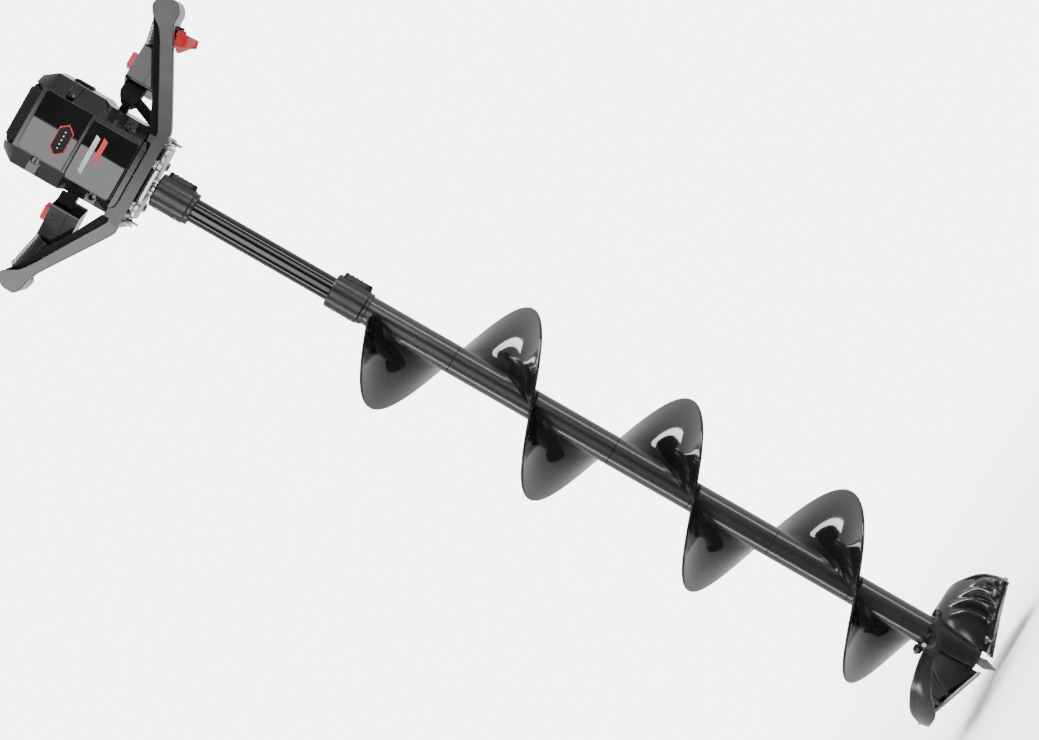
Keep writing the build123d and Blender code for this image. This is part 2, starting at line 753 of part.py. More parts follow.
def make_switch_boxes():
    """Upper box with its grip arm, button hole and spring shelf, and the cover below the seam."""
    for side, name in ((-1, "left_box"), (1, "right_box")):
        outer = box_block(side, 0, box_seam, box_top)
        hollow = box_block(side, wall, box_seam - 1, box_top - wall)
        arm = arm_rod(side, arm_radius, box_length(side) - 2, arm_length(side))
        with BuildPart() as box:
            add(outer)
            add(hollow, mode=Mode.SUBTRACT)
            with BuildSketch(button_plane(side, box_seam)):
                Rectangle(10, box_depth - wall)
            extrude(amount=2.4)
            with BuildSketch(button_plane(side, box_top - 2 * wall)):
                Rectangle(18 + 2 * fit, 16 + 2 * fit)
            extrude(amount=20, mode=Mode.SUBTRACT)
            add(arm)
            if side < 0:
                # link to the housing's left side
                with Locations((-62, 6, (box_seam + 1207) / 2)):
                    Box(21.9, 16, 1207 - box_seam)
                with Locations((-64, 6, 1210)):
                    Box(17, 16, 6)
        box.part.label = name
        export_step(box.part, f"parts/{name}.step")

        lower = box_block(side, 0, box_bottom, box_seam)
        lower_hollow = box_block(side, wall, box_bottom + wall, box_seam)
        clearance = arm_rod(side, arm_radius + fit, box_length(side) - 4, 20)
        with BuildPart() as cover:
            add(lower)
            add(lower_hollow, mode=Mode.SUBTRACT)
            add(clearance, mode=Mode.SUBTRACT)
        cover.part.label = f"{name}_cover"
        export_step(cover.part, f"parts/{name}_cover.step")


def make_buttons():
    """Red push buttons with a collar under the box's top, on coil springs."""
    for side, name in ((-1, "reverse_button"), (1, "safety_button")):
        with BuildPart() as button:
            with BuildSketch(button_plane(side, box_top - wall - 2)):
                Rectangle(22, 20)
            extrude(amount=2)
            with BuildSketch(button_plane(side, box_top - wall - 2)):
                Rectangle(18, 16)
            extrude(amount=2 + wall + 8)
            chamfer(button.faces().sort_by(Axis.Z)[-1].edges(), length=1.2)
        button.part.label = name
        export_step(button.part, f"parts/{name}.step")

        spring_label = name.replace("button", "spring")
        low = button_plane(side, box_seam + 2.4 + 0.6)
        high = box_top - wall - 2 - 0.6
        height = high - low.origin.Z
        with BuildPart() as spring:
            with BuildLine(low) as coil:
                Helix(pitch=height / 5, height=height, radius=4.0)
            with BuildSketch(Plane(origin=coil.line @ 0, z_dir=coil.line % 0)):
                Circle(0.55)
            sweep()
        spring.part.label = spring_label
        export_step(spring.part, f"parts/{spring_label}.step")


def make_right_elbow():
    """Elbow that ties the right box to the housing, with the strut down to the bow."""
    with BuildPart() as right_elbow:
        with BuildSketch(handle_plane(1)):
            Polygon((-fit, 1187), (-fit, 1212), (-14, 1212), (-22, 1206), (-24, 1192), (-18, 1187),
                    align=None)
        extrude(amount=11, both=True)
        with Locations((66.5, 6, 1197.5)):
            Box(14.8, 16, 10)
        with BuildSketch(front_plane(2)):
            Polygon((72, 1194), (82, 1190), (66, 1145.1), (56, 1145.1), (59.1, 1153.5),
                    (59.1, 1162), align=None)
        extrude(amount=-12)
    right_elbow.part.label = "right_elbow"
    export_step(right_elbow.part, "parts/right_elbow.step")


def make_grips():
    """Rubber sleeves over the arms; the right one is slotted for the trigger's lugs."""
    for side, name in ((-1, "left_grip"), (1, "right_grip")):
        with BuildPart() as grip:
            with BuildSketch(arm_plane(side, box_length(side) + 4.5)):
                Circle(grip_radius)
                Circle(arm_radius + fit, mode=Mode.SUBTRACT)
            extrude(amount=grip_length(side))
            if side > 0:
                with BuildSketch(arm_plane(side, trigger_distance)):
                    with Locations((pin_forward, grip_radius)):
                        Rectangle(11, grip_radius)
                extrude(amount=lug_gap + lug_thickness + 0.5, both=True, mode=Mode.SUBTRACT)
        grip.part.label = name
        export_step(grip.part, f"parts/{name}.step")


make_handle_frame()
make_switch_boxes()
make_buttons()
make_right_elbow()
make_grips()


# ---------------------------------------------------------------- trigger
def make_trigger():
    """Finger trigger hung on a pin between two lugs under the right grip."""
    middle = arm_plane(1, trigger_distance)
    with BuildPart() as trigger:
        with BuildSketch(middle):
            with BuildLine():
                Polyline((pin_forward - 4, pin_drop + 1), (pin_forward - 16, pin_drop + 1.5),
                         (pin_forward - 15.5, pin_drop + 5))
                Line((pin_forward - 15.5, pin_drop + 5), (-1.5, 42.5))
                ThreePointArc((-1.5, 42.5), (2.2, 44), (5.5, 42))
                ThreePointArc((5.5, 42), (4.5, 31), (8.0, pin_drop))
                Polyline((8.0, pin_drop), (7.5, 17.8), (pin_forward + 3, pin_drop - 2.6),
                         (pin_forward - 4, pin_drop + 1))
            make_face()
            with Locations((pin_forward, pin_drop)):
                Circle(3.4)
                Circle(pin_radius + fit, mode=Mode.SUBTRACT)
        extrude(amount=trigger_width / 2, both=True)
    trigger.part.label = "trigger"
    export_step(trigger.part, "parts/trigger.step")

    with BuildPart() as trigger_pin:
        with BuildSketch(middle):
            with Locations((pin_forward, pin_drop)):
                Circle(pin_radius)
        extrude(amount=lug_gap + lug_thickness + 0.8, both=True)
    trigger_pin.part.label = "trigger_pin"
    export_step(trigger_pin.part, "parts/trigger_pin.step")

    with BuildPart() as trigger_spring:
        with BuildSketch(middle.offset(trigger_width / 2 + 0.2)):
            with Locations((pin_forward, pin_drop)):
                Circle(2.9)
                Circle(pin_radius + fit, mode=Mode.SUBTRACT)
        extrude(amount=1.1)
    trigger_spring.part.label = "trigger_spring"
    export_step(trigger_spring.part, "parts/trigger_spring.step")

    with BuildPart() as trigger_lugs:
        for way in (-1, 1):
            with BuildSketch(middle.offset(way * (lug_gap + lug_thickness / 2))):
                Polygon((pin_forward - 5, arm_radius - 2), (pin_forward + 5, arm_radius - 2),
                        (pin_forward + 4, pin_drop + 3), (pin_forward - 4, pin_drop + 3), align=None)
                with Locations((pin_forward, pin_drop)):
                    Circle(pin_radius, mode=Mode.SUBTRACT)
            extrude(amount=lug_thickness / 2, both=True)
        add(arm_rod(1, arm_radius, box_length(1) - 2, arm_length(1)), mode=Mode.SUBTRACT)
    trigger_lugs.part.label = "trigger_lugs"
    export_step(trigger_lugs.part, "parts/trigger_lugs.step")

    with BuildPart() as trigger_switch:
        with BuildSketch(button_plane(1, box_bottom + wall)):
            Rectangle(20, 10)
        extrude(amount=9)
        with BuildSketch(button_plane(1, box_bottom + wall + 9)):
            Rectangle(3, 4)
        extrude(amount=1.5)
    trigger_switch.part.label = "trigger_switch"
    export_step(trigger_switch.part, "parts/trigger_switch.step")


# ---------------------------------------------------------------- base plate and bolts
def make_base_plate():
    """Bright steel plate under the bow, bored for the spindle."""
    with BuildPart() as base_plate:
        with Locations((plate_x, 0, plate_bottom)):
            Box(92, 64, plate_top - plate_bottom, align=(Align.CENTER, Align.CENTER, Align.MIN))
        fillet(base_plate.edges().filter_by(Axis.Z), radius=6)
        Cylinder(radius=spindle_radius + 1.5, height=2 * plate_top, mode=Mode.SUBTRACT)
    base_plate.part.label = "base_plate"
    export_step(base_plate.part, "parts/base_plate.step")


def make_frame_bolts():
    """Hex bolts and small screws driven up into the bow."""
    with BuildPart() as frame_bolts:
        for x, y in hex_bolt_places():
            with BuildSketch(Plane.XY.offset(frame_bottom)):
                with Locations((x, y)):
                    Circle(6.0)
            extrude(amount=-1.5)
            with BuildSketch(Plane.XY.offset(frame_bottom - 1.5)):
                with Locations((x, y)):
                    RegularPolygon(radius=5.2, side_count=6, major_radius=False)
            extrude(amount=-8.5)
            with Locations((x, y, frame_bottom)):
                Cylinder(radius=2.95, height=19, align=(Align.CENTER, Align.CENTER, Align.MIN))
        for x, y in small_screw_places():
            with Locations((x, y, frame_bottom - 12)):
                Cylinder(radius=1.65, height=23, align=(Align.CENTER, Align.CENTER, Align.MIN))
    frame_bolts.part.label = "frame_bolts"
    export_step(frame_bolts.part, "parts/frame_bolts.step")


# ---------------------------------------------------------------- spindle, collars and tubes
upper_bolt_z = [1085.0, 1107.5]
lower_bolt_z = [852.5, 873.5]
head_bolt_z = 78.0
bolt_turn = 12.0                # degrees that the cross bolts are turned from the X axis
bolt_head = -18.0               # where a bolt's head bears, along its axis
bolt_end = 23.0


def make_spindle():
    """Output spindle from the last gear down into the extension tube."""
    with BuildPart() as output_spindle:
        with Locations((0, 0, 1076)):
            Cylinder(radius=spindle_radius, height=last_stage_z - 1076,
                     align=(Align.CENTER, Align.CENTER, Align.MIN))
        with Locations((0, 0, last_stage_z)):
            Cylinder(radius=spindle_radius - 3, height=gear_face,
                     align=(Align.CENTER, Align.CENTER, Align.MIN))
        for z in upper_bolt_z:
            cross_hole(z)
    output_spindle.part.label = "output_spindle"
    export_step(output_spindle.part, "parts/output_spindle.step")


def bolt_plane(z, distance):
    """Plane across a cross bolt's axis, which runs from the front left to the rear right."""
    turn = math.radians(bolt_turn)
    axis = Vector(math.cos(turn), math.sin(turn), 0)
    return Plane(origin=axis * distance + Vector(0, 0, z), x_dir=(0, 0, 1), z_dir=axis)


def cross_hole(z):
    """Drills the part being built for a cross bolt."""
    with Locations(bolt_plane(z, 0)):
        Cylinder(radius=3.0 + fit, height=2 * bolt_end, mode=Mode.SUBTRACT)


def make_extension_tube():
    """Straight tube between the two collars."""
    with BuildPart() as extension_tube:
        with BuildSketch(Plane.XY.offset(842.0)):
            Circle(tube_radius)
            Circle(tube_bore, mode=Mode.SUBTRACT)
        extrude(amount=1112.0 - 842.0)
        for z in upper_bolt_z + lower_bolt_z:
            cross_hole(z)
    extension_tube.part.label = "extension_tube"
    export_step(extension_tube.part, "parts/extension_tube.step")


def make_collars():
    """Clamping collars with a flat bolt pad on each side."""
    levels = {"upper_collar": (upper_collar_bottom, upper_collar_top, upper_bolt_z, tube_radius),
              "lower_collar": (lower_collar_bottom, lower_collar_top, lower_bolt_z, tube_radius)}
    for label, (bottom, top, bolts, bore) in levels.items():
        with BuildPart() as collar:
            with BuildSketch(Plane.XY.offset(bottom)):
                Circle(collar_radius)
            extrude(amount=top - bottom)
            chamfer(collar.edges().filter_by(GeomType.CIRCLE), length=2)
            middle = sum(bolts) / 2
            with BuildSketch(bolt_plane(middle, collar_radius - 8)):
                RectangleRounded(39, 17, 4)
            extrude(amount=12.6)
            with BuildSketch(Plane.XY.offset(bottom - 1)):
                Circle(bore + fit)
            extrude(amount=top - bottom + 2, mode=Mode.SUBTRACT)
            if label == "lower_collar":
                with BuildSketch(Plane.XY.offset(bottom - 1)):
                    Circle(core_radius + fit)
                extrude(amount=25, mode=Mode.SUBTRACT)
            for z in bolts:
                cross_hole(z)
                with BuildSketch(bolt_plane(z, bolt_head)):
                    Circle(6.2)
                extrude(amount=-10, mode=Mode.SUBTRACT)
        collar.part.label = label
        export_step(collar.part, f"parts/{label}.step")


def make_cross_bolts():
    """Hex-headed cross bolts: two through each collar and one through the head's hub."""
    with BuildPart() as cross_bolts:
        for z in upper_bolt_z + lower_bolt_z + [head_bolt_z]:
            with BuildSketch(bolt_plane(z, bolt_head)):
                RegularPolygon(radius=5.0, side_count=6, major_radius=False)
            extrude(amount=-2.7)
            with BuildSketch(bolt_plane(z, bolt_head)):
                Circle(3.0)
            extrude(amount=bolt_end - bolt_head)
    cross_bolts.part.label = "cross_bolts"
    export_step(cross_bolts.part, "parts/cross_bolts.step")


def make_core_tube():
    """Steel core that carries the flight sections, thicker where it enters the collar."""
    with BuildPart() as core_tube:
        with BuildSketch(Plane.XY.offset(head_top - 18)):
            Circle(core_liner_radius)
        extrude(amount=862.0 - head_top + 18)
        with BuildSketch(Plane.XY.offset(flight_top)):
            Circle(core_radius)
        extrude(amount=862.0 - flight_top)
        with BuildSketch(Plane.XY.offset(head_top - 19)):
            Circle(core_liner_radius - 2.0)
        extrude(amount=840.0 - head_top + 19, mode=Mode.SUBTRACT)
        with BuildSketch(Plane.XY.offset(830.0)):
            Circle(tube_radius + fit)
        extrude(amount=40.0, mode=Mode.SUBTRACT)
        for z in lower_bolt_z + [head_bolt_z]:
            cross_hole(z)
    core_tube.part.label = "core_tube"
    export_step(core_tube.part, "parts/core_tube.step")


make_trigger()
make_base_plate()
make_frame_bolts()
make_spindle()
make_extension_tube()
make_collars()
make_cross_bolts()
make_core_tube()


# ---------------------------------------------------------------- flight sections
def radial_plane(angle, z):
    """Upright plane through the axis at an angle round from +X: local x runs outwards."""
    turn = math.radians(angle)
    return Plane(origin=(0, 0, z), x_dir=(math.cos(turn), math.sin(turn), 0),
                 z_dir=(math.sin(turn), -math.cos(turn), 0))


def make_flight_sections():
    """Seven equal half-turn mouldings, each a sleeve with its flight, stacked on the core."""
    bottom = flight_top - section_height
    overrun = 16                # degrees drawn past each end before the ends are cut level
    steps = 16
    half_tip = flight_tip_thickness / 2
    half_root = flight_root_thickness / 2
    half_profile = [(core_radius - 0.8, half_root), (core_radius + 3, half_root - 3.5),
                    (core_radius + 9, half_tip + 1.2), (flight_radius + 2, half_tip)]
    with BuildPart() as flight:
        for step in range(steps + 1):
            angle = -90 - 180 - overrun + (180 + 2 * overrun) * step / steps
            z = flight_top + flight_pitch * (angle + 90) / 360
            with BuildSketch(radial_plane(angle, z)):
                Polygon(*[(r, -half) for r, half in half_profile],
                        *[(r, half) for r, half in reversed(half_profile)], align=None)
        loft(ruled=True)
    sleeve = ring(0, 0, bottom, core_radius, core_liner_radius + fit, section_height)
    envelope = ring(0, 0, bottom, flight_radius, core_liner_radius + fit, section_height)
    with BuildPart() as first_section:
        add(flight.part)
        add(envelope, mode=Mode.INTERSECT)
        add(sleeve)
    for number in range(section_count):
        place = Location((0, 0, -section_height * number), (0, 0, 180 * number))
        with BuildPart() as section:
            add(first_section.part.moved(place))
        section.part.label = f"flight_section_{number + 1}"
        export_step(section.part, f"parts/flight_section_{number + 1}.step")


# ---------------------------------------------------------------- cutting head
blade_inner_x = 11.6
blade_inner_z = 13.0
blade_slope = 19.3              # degrees that a blade rises outwards
blade_rake = 10.0               # degrees that a blade leans back from its edge
blade_lead = 14.0               # distance of the edge in front of the axis
blade_length = 94.3
blade_width = 24.0
blade_thickness = 2.5
blade_screw_along = (18.5, 73.5)
blade_screw_head = 7.5          # height of a screw head's seat over the blade's lower face
scoop_thickness = 7.0

# height of a scoop's upper face, from its blade round to its end, at the hub and at the rim
scoop_angles = (-8, 8, 22, 38, 55, 72, 90)
scoop_hub_z = (21, 27, 42, 62, 80, 87, 88)
scoop_rim_z = (48, 55, 67, 78, 87, 88, 88)
skirt_low_z = (40, 38, 39, 43, 62, 77, 84)
skirt_thickness = 3.0


def blade_plane():
    """Plane of the right blade's lower face: x along the edge outwards, y up the rake."""
    slope = math.radians(blade_slope)
    rake = math.radians(blade_rake)
    edge = Vector(math.cos(slope), 0, math.sin(slope))
    lean = Vector(0, 1, 0) * math.cos(rake)
    lean = lean + Vector(-math.sin(slope), 0, math.cos(slope)) * math.sin(rake)
    origin = (blade_inner_x, -blade_lead, blade_inner_z)
    return Plane(origin=origin, x_dir=edge, z_dir=edge.cross(lean))


def blade_solid():
    """One blade, bevelled along its leading edge, with a rounded outer corner."""
    with BuildPart() as blade:
        with BuildSketch(blade_plane()):
            with BuildLine():
                Polyline((0, 0), (0, blade_width - 4), (4, blade_width),
                         (blade_length - 8, blade_width))
                ThreePointArc((blade_length - 8, blade_width), (blade_length - 1.4, 13),
                              (blade_length, 0))
                Line((blade_length, 0), (0, 0))
            make_face()
        extrude(amount=blade_thickness)
        edge = blade.faces().sort_by(Axis.Y)[0].edges().filter_by(
            lambda line: line.length > blade_length - 1).sort_by(Axis.Z)[-1]
        chamfer(edge, length=blade_thickness - 0.4, length2=5)
        with BuildSketch(blade_plane()):
            with Locations(*[(along_edge, 13) for along_edge in blade_screw_along]):
                Circle(2.5)
        extrude(amount=blade_thickness, mode=Mode.SUBTRACT)
    return blade.part


def blade_screw_solids():
    """Both screws of the right blade: shank up through the scoop and a round head."""
    with BuildPart() as screws:
        with BuildSketch(blade_plane()):
            with Locations(*[(along_edge, 13) for along_edge in blade_screw_along]):
                Circle(2.5)
        extrude(amount=blade_screw_head)
        with BuildSketch(blade_plane().offset(blade_screw_head)):
            with Locations(*[(along_edge, 13) for along_edge in blade_screw_along]):
                Circle(4.8)
        extrude(amount=3)
    return screws.part


def scoop_solid():
    """Right scoop: a curved ramp from the blade up to the hub's rear, with a skirt at its rim."""
    with BuildPart() as scoop:
        for angle, hub_z, rim_z in zip(scoop_angles, scoop_hub_z, scoop_rim_z):
            with BuildSketch(radial_plane(angle, 0)):
                Polygon((12, hub_z), (flight_radius, rim_z), (flight_radius, rim_z - scoop_thickness),
                        (12, hub_z - scoop_thickness), align=None)
        loft(ruled=True)
        for angle, low_z, rim_z in zip(scoop_angles, skirt_low_z, scoop_rim_z):
            with BuildSketch(radial_plane(angle, 0)):
                Polygon((flight_radius - skirt_thickness, low_z), (flight_radius, low_z),
                        (flight_radius, rim_z - 1), (flight_radius - skirt_thickness, rim_z - 1),
                        align=None)
        loft(ruled=True)
    return scoop.part


def make_cutting_head():
    """Hub with two scoops, their blades and screws, and the centre point."""
    half_turn = Location((0, 0, 0), (0, 0, 180))
    scoop = scoop_solid()
    blade = blade_solid()
    screws = blade_screw_solids()
    blades = {"right_blade": blade, "left_blade": blade.moved(half_turn)}
    all_screws = [screws, screws.moved(half_turn)]
    with BuildPart() as cutting_head:
        with Locations((0, 0, 27)):
            Cone(bottom_radius=13, top_radius=22, height=head_top - 27,
                 align=(Align.CENTER, Align.CENTER, Align.MIN))
        add([scoop, scoop.moved(half_turn)])
        with Locations((0, 0, head_top - 18)):
            Cylinder(radius=core_liner_radius + fit, height=40, mode=Mode.SUBTRACT,
                     align=(Align.CENTER, Align.CENTER, Align.MIN))
        for part in blades.values():
            add(part, mode=Mode.SUBTRACT)
        add(all_screws, mode=Mode.SUBTRACT)
        cross_hole(head_bolt_z)
        with BuildSketch(bolt_plane(head_bolt_z, bolt_head)):
            Circle(6.2)
        extrude(amount=-10, mode=Mode.SUBTRACT)
        with Locations((0, 0, 20)):
            Box(12, 4, 26, mode=Mode.SUBTRACT, align=(Align.CENTER, Align.CENTER, Align.MIN))
    cutting_head.part.label = "cutting_head"
    export_step(cutting_head.part, "parts/cutting_head.step")

    for label, solid in blades.items():
        with BuildPart() as blade_part:
            add(solid)
        blade_part.part.label = label
        export_step(blade_part.part, f"parts/{label}.step")

    with BuildPart() as blade_screws:
        add(all_screws)
    blade_screws.part.label = "blade_screws"
    export_step(blade_screws.part, "parts/blade_screws.step")

    with BuildPart() as centre_point:
        with BuildSketch(front_plane(-2)):
            Polygon((0, 0), (5.8, 15.6), (4.2, 28), (6, 30), (6, 46), (-6, 46), (-6, 30),
                    (-4.2, 28), (-5.8, 15.6), align=None)
        extrude(amount=-4)
    centre_point.part.label = "centre_point"
    export_step(centre_point.part, "parts/centre_point.step")


make_flight_sections()
make_cutting_head()
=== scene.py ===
import json
import math

import bmesh
import bpy
from mathutils import Matrix, Quaternion, Vector


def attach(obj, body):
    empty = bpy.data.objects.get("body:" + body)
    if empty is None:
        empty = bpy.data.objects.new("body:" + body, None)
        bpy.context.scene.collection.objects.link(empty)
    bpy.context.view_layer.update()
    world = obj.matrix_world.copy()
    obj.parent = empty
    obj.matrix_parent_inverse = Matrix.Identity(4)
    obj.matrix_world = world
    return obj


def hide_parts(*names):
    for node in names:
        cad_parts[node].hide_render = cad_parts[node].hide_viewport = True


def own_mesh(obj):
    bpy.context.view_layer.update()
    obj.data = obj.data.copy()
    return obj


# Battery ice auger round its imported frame, in metres: +Z up the auger's axis, -Y the front.
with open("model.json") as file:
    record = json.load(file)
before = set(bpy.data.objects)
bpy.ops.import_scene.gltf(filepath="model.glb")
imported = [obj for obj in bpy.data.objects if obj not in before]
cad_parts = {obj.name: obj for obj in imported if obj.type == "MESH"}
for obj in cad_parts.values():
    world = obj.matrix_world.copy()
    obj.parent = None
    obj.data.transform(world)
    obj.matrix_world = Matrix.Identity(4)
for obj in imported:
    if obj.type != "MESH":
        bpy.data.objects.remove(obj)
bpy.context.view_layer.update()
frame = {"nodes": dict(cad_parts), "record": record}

MM = 0.001


# ---------------------------------------------------------------- materials
def noise_node(tree, coords, scale, detail, stretch=(1, 1, 1)):
    """Noise over the object's own coordinates, stretched where the finish has a grain."""
    mapping = tree.nodes.new("ShaderNodeMapping")
    mapping.inputs["Scale"].default_value = stretch
    tree.links.new(coords, mapping.inputs["Vector"])
    noise = tree.nodes.new("ShaderNodeTexNoise")
    noise.inputs["Scale"].default_value = scale
    noise.inputs["Detail"].default_value = detail
    tree.links.new(mapping.outputs["Vector"], noise.inputs["Vector"])
    return noise.outputs["Fac"]


def spread(tree, value, low, high):
    """Maps a noise value's useful middle onto a range."""
    span = tree.nodes.new("ShaderNodeMapRange")
    span.inputs["From Min"].default_value = 0.3
    span.inputs["From Max"].default_value = 0.7
    span.inputs["To Min"].default_value = low
    span.inputs["To Max"].default_value = high
    tree.links.new(value, span.inputs["Value"])
    return span.outputs["Result"]


def make_material(name, dark, light, rough, grain, bump, metallic=0.0, coat=0.0, specular=0.5,
                  stretch=(1, 1, 1), cloud=14.0):
    """Two tones in soft clouds, uneven gloss, and a fine grain as bump."""
    material = bpy.data.materials.new(name)
    material.use_nodes = True
    tree = material.node_tree
    shader = tree.nodes["Principled BSDF"]
    coords = tree.nodes.new("ShaderNodeTexCoord").outputs["Object"]
    tone = tree.nodes.new("ShaderNodeMix")
    tone.data_type = "RGBA"
    tone.inputs["A"].default_value = (*dark, 1)
    tone.inputs["B"].default_value = (*light, 1)
    clouds = noise_node(tree, coords, cloud, 3.0, stretch)
    tree.links.new(spread(tree, clouds, 0.0, 1.0), tone.inputs["Factor"])
    tree.links.new(tone.outputs["Result"], shader.inputs["Base Color"])
    smear = noise_node(tree, coords, cloud * 3.1, 4.0, stretch)
    tree.links.new(spread(tree, smear, *rough), shader.inputs["Roughness"])
    fine = noise_node(tree, coords, grain, 2.0, stretch)
    relief = tree.nodes.new("ShaderNodeBump")
    relief.inputs["Strength"].default_value = 0.35
    relief.inputs["Distance"].default_value = bump
    tree.links.new(fine, relief.inputs["Height"])
    tree.links.new(relief.outputs["Normal"], shader.inputs["Normal"])
    shader.inputs["Metallic"].default_value = metallic
    shader.inputs["Coat Weight"].default_value = coat
    shader.inputs["Coat Roughness"].default_value = 0.06
    shader.inputs["Specular IOR Level"].default_value = specular
    return material


MATERIALS = {
    "housing": make_material("housing_black", (0.0045, 0.0045, 0.0048),
                             (0.0075, 0.0075, 0.0080), (0.07, 0.11), 900, 0.000003,
                             specular=0.40),
    "panel": make_material("panel_black", (0.0040, 0.0040, 0.0043), (0.0065, 0.0065, 0.0070),
                           (0.006, 0.012), 600, 0.0000002, specular=0.40),
    "cap": make_material("cap_black", (0.0030, 0.0030, 0.0030), (0.0060, 0.0060, 0.0060),
                         (0.42, 0.55), 1400, 0.00003, specular=0.25),
    "frame": make_material("frame_black", (0.0055, 0.0055, 0.0058), (0.0095, 0.0095, 0.0100),
                           (0.13, 0.19), 1500, 0.000004, specular=0.46),
    "grip": make_material("grip_rubber", (0.0060, 0.0060, 0.0060), (0.0120, 0.0120, 0.0120),
                          (0.24, 0.34), 1800, 0.00002, specular=0.35),
    "red": make_material("signal_red", (0.42, 0.006, 0.006), (0.54, 0.012, 0.011),
                         (0.24, 0.34), 1200, 0.00001, specular=0.5),
    "steel": make_material("bright_steel", (0.52, 0.52, 0.53), (0.66, 0.66, 0.67),
                           (0.22, 0.38), 500, 0.00002, metallic=1.0, stretch=(1, 1, 9)),
    "zinc": make_material("zinc_bolts", (0.30, 0.31, 0.32), (0.46, 0.46, 0.46),
                          (0.22, 0.36), 900, 0.00001, metallic=1.0),
    "black_tube": make_material("tube_black", (0.0030, 0.0030, 0.0030),
                                (0.0055, 0.0055, 0.0055), (0.10, 0.15), 500, 0.000002,
                                specular=0.40, stretch=(1, 1, 0.1)),
    "collar": make_material("collar_black", (0.0050, 0.0050, 0.0050), (0.0095, 0.0095, 0.0095),
                            (0.28, 0.38), 1300, 0.00002, specular=0.45),
    "flight": make_material("flight_black", (0.0030, 0.0030, 0.0032), (0.0060, 0.0060, 0.0064),
                            (0.05, 0.09), 160, 0.00001, specular=0.38),
    "core": make_material("core_black", (0.0070, 0.0070, 0.0072), (0.0110, 0.0110, 0.0112),
                          (0.27, 0.35), 500, 0.000002, coat=0.35, specular=0.55,
                          stretch=(1, 1, 0.1)),
    "head": make_material("head_black", (0.0080, 0.0080, 0.0082), (0.0150, 0.0150, 0.0152),
                          (0.15, 0.22), 260, 0.00001, specular=0.55),
    # Painted shade: a darker, matt, weakly mirroring copy of the black plastics, put on faces
    # that the light leaves dark.
    "joint": make_material("painted_shade_black", (0.0030, 0.0030, 0.0030), (0.0050, 0.0050, 0.0050),
                           (0.40, 0.52), 900, 0.00001, specular=0.10),
    "aluminium": make_material("cast_aluminium", (0.42, 0.42, 0.43), (0.56, 0.56, 0.57),
                               (0.35, 0.50), 800, 0.00005, metallic=1.0),
    "copper": make_material("copper_wire", (0.60, 0.22, 0.10), (0.75, 0.30, 0.14),
                            (0.25, 0.35), 900, 0.00003, metallic=1.0),
    "board": make_material("board_green", (0.010, 0.09, 0.035), (0.015, 0.13, 0.05),
                           (0.30, 0.40), 900, 0.00002),
    "cell": make_material("cell_sleeve", (0.02, 0.10, 0.25), (0.03, 0.14, 0.32),
                          (0.30, 0.40), 900, 0.00002),
}


def dress(thing, slot):
    """Gives a piece one of the materials above; its slot in the record stays as it is."""
    thing.data.materials.clear()
    thing.data.materials.append(MATERIALS[slot])


def dress_cad_nodes():
    """Gives each CAD node the material of its slot in the record."""
    for entry in frame["record"]["subparts"]:
        dress(frame["nodes"][entry["node"]], entry["material_slot"])


# ---------------------------------------------------------------- pieces copied from the frame
FLAT_AREA = 4e-5        # in square metres: a face larger than this is a plane one
EDGE_ANGLE = 30         # in degrees: a sharper edge than this is rounded
MERGE_DISTANCE = 2e-6


def shade(thing, degrees=32):
    """Smooth shading with hard edges kept where faces meet sharply."""
    mesh = thing.data
    mesh.polygons.foreach_set("use_smooth", [True] * len(mesh.polygons))
    mesh.set_sharp_from_angle(angle=math.radians(degrees))


def apply_modifiers(thing):
    """Turns a piece's modifiers into its mesh."""
    graph = bpy.context.evaluated_depsgraph_get()
    mesh = bpy.data.meshes.new_from_object(thing.evaluated_get(graph))
    thing.modifiers.clear()
    thing.data = mesh


def keep_flat(piece):
    """Leaves a piece's plane faces flat, so that they mirror as a plane does."""
    for face in piece.data.polygons:
        if face.area > FLAT_AREA:
            face.use_smooth = False


def softened(node, slot, body, width, segments=2):
    """A copy of a CAD node with its sharp edges rounded, as a moulding's or a casting's are."""
    source = frame["nodes"][node]
    mesh = source.data.copy()
    work = bmesh.new()
    work.from_mesh(mesh)
    bmesh.ops.remove_doubles(work, verts=work.verts, dist=MERGE_DISTANCE)
    bmesh.ops.dissolve_limit(work, angle_limit=math.radians(1.0), verts=work.verts,
                             edges=work.edges)
    work.to_mesh(mesh)
    work.free()
    piece = bpy.data.objects.new(f"{node}_shape", mesh)
    bpy.context.scene.collection.objects.link(piece)
    bevel = piece.modifiers.new("edges", "BEVEL")
    bevel.width = width
    bevel.segments = segments
    bevel.limit_method = "ANGLE"
    bevel.angle_limit = math.radians(EDGE_ANGLE)
    bevel.use_clamp_overlap = True
    shade(piece, 60)
    apply_modifiers(piece)
    keep_flat(piece)
    dress(piece, slot)
    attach(piece, body)
    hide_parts(node)
    return piece


# ---------------------------------------------------------------- camera, light and floor
def make_camera():
    """Camera level with the middle of the auger and rolled so that its axis runs down right."""
    azimuth = math.radians(3.2)
    roll = math.radians(29.85)
    aim_across = 0.0273
    aim_height = 0.6514
    distance = 5.2
    view_width = 1.200
    sensor = 36
    across = Vector((math.cos(azimuth), math.sin(azimuth), 0))
    back = Vector((math.sin(azimuth), -math.cos(azimuth), 0))
    up = Vector((0, 0, 1))
    right_axis = across * math.sin(roll) - up * math.cos(roll)
    up_axis = across * math.cos(roll) + up * math.sin(roll)
    data = bpy.data.cameras.new("camera")
    data.sensor_width = sensor
    data.lens = sensor * distance / view_width
    data.clip_end = 50
    camera = bpy.data.objects.new("camera", data)
    bpy.context.scene.collection.objects.link(camera)
    place = across * aim_across + up * aim_height + back * distance
    turn = Matrix((right_axis, up_axis, back)).transposed().to_4x4()
    camera.matrix_world = Matrix.Translation(place) @ turn
    bpy.context.scene.camera = camera


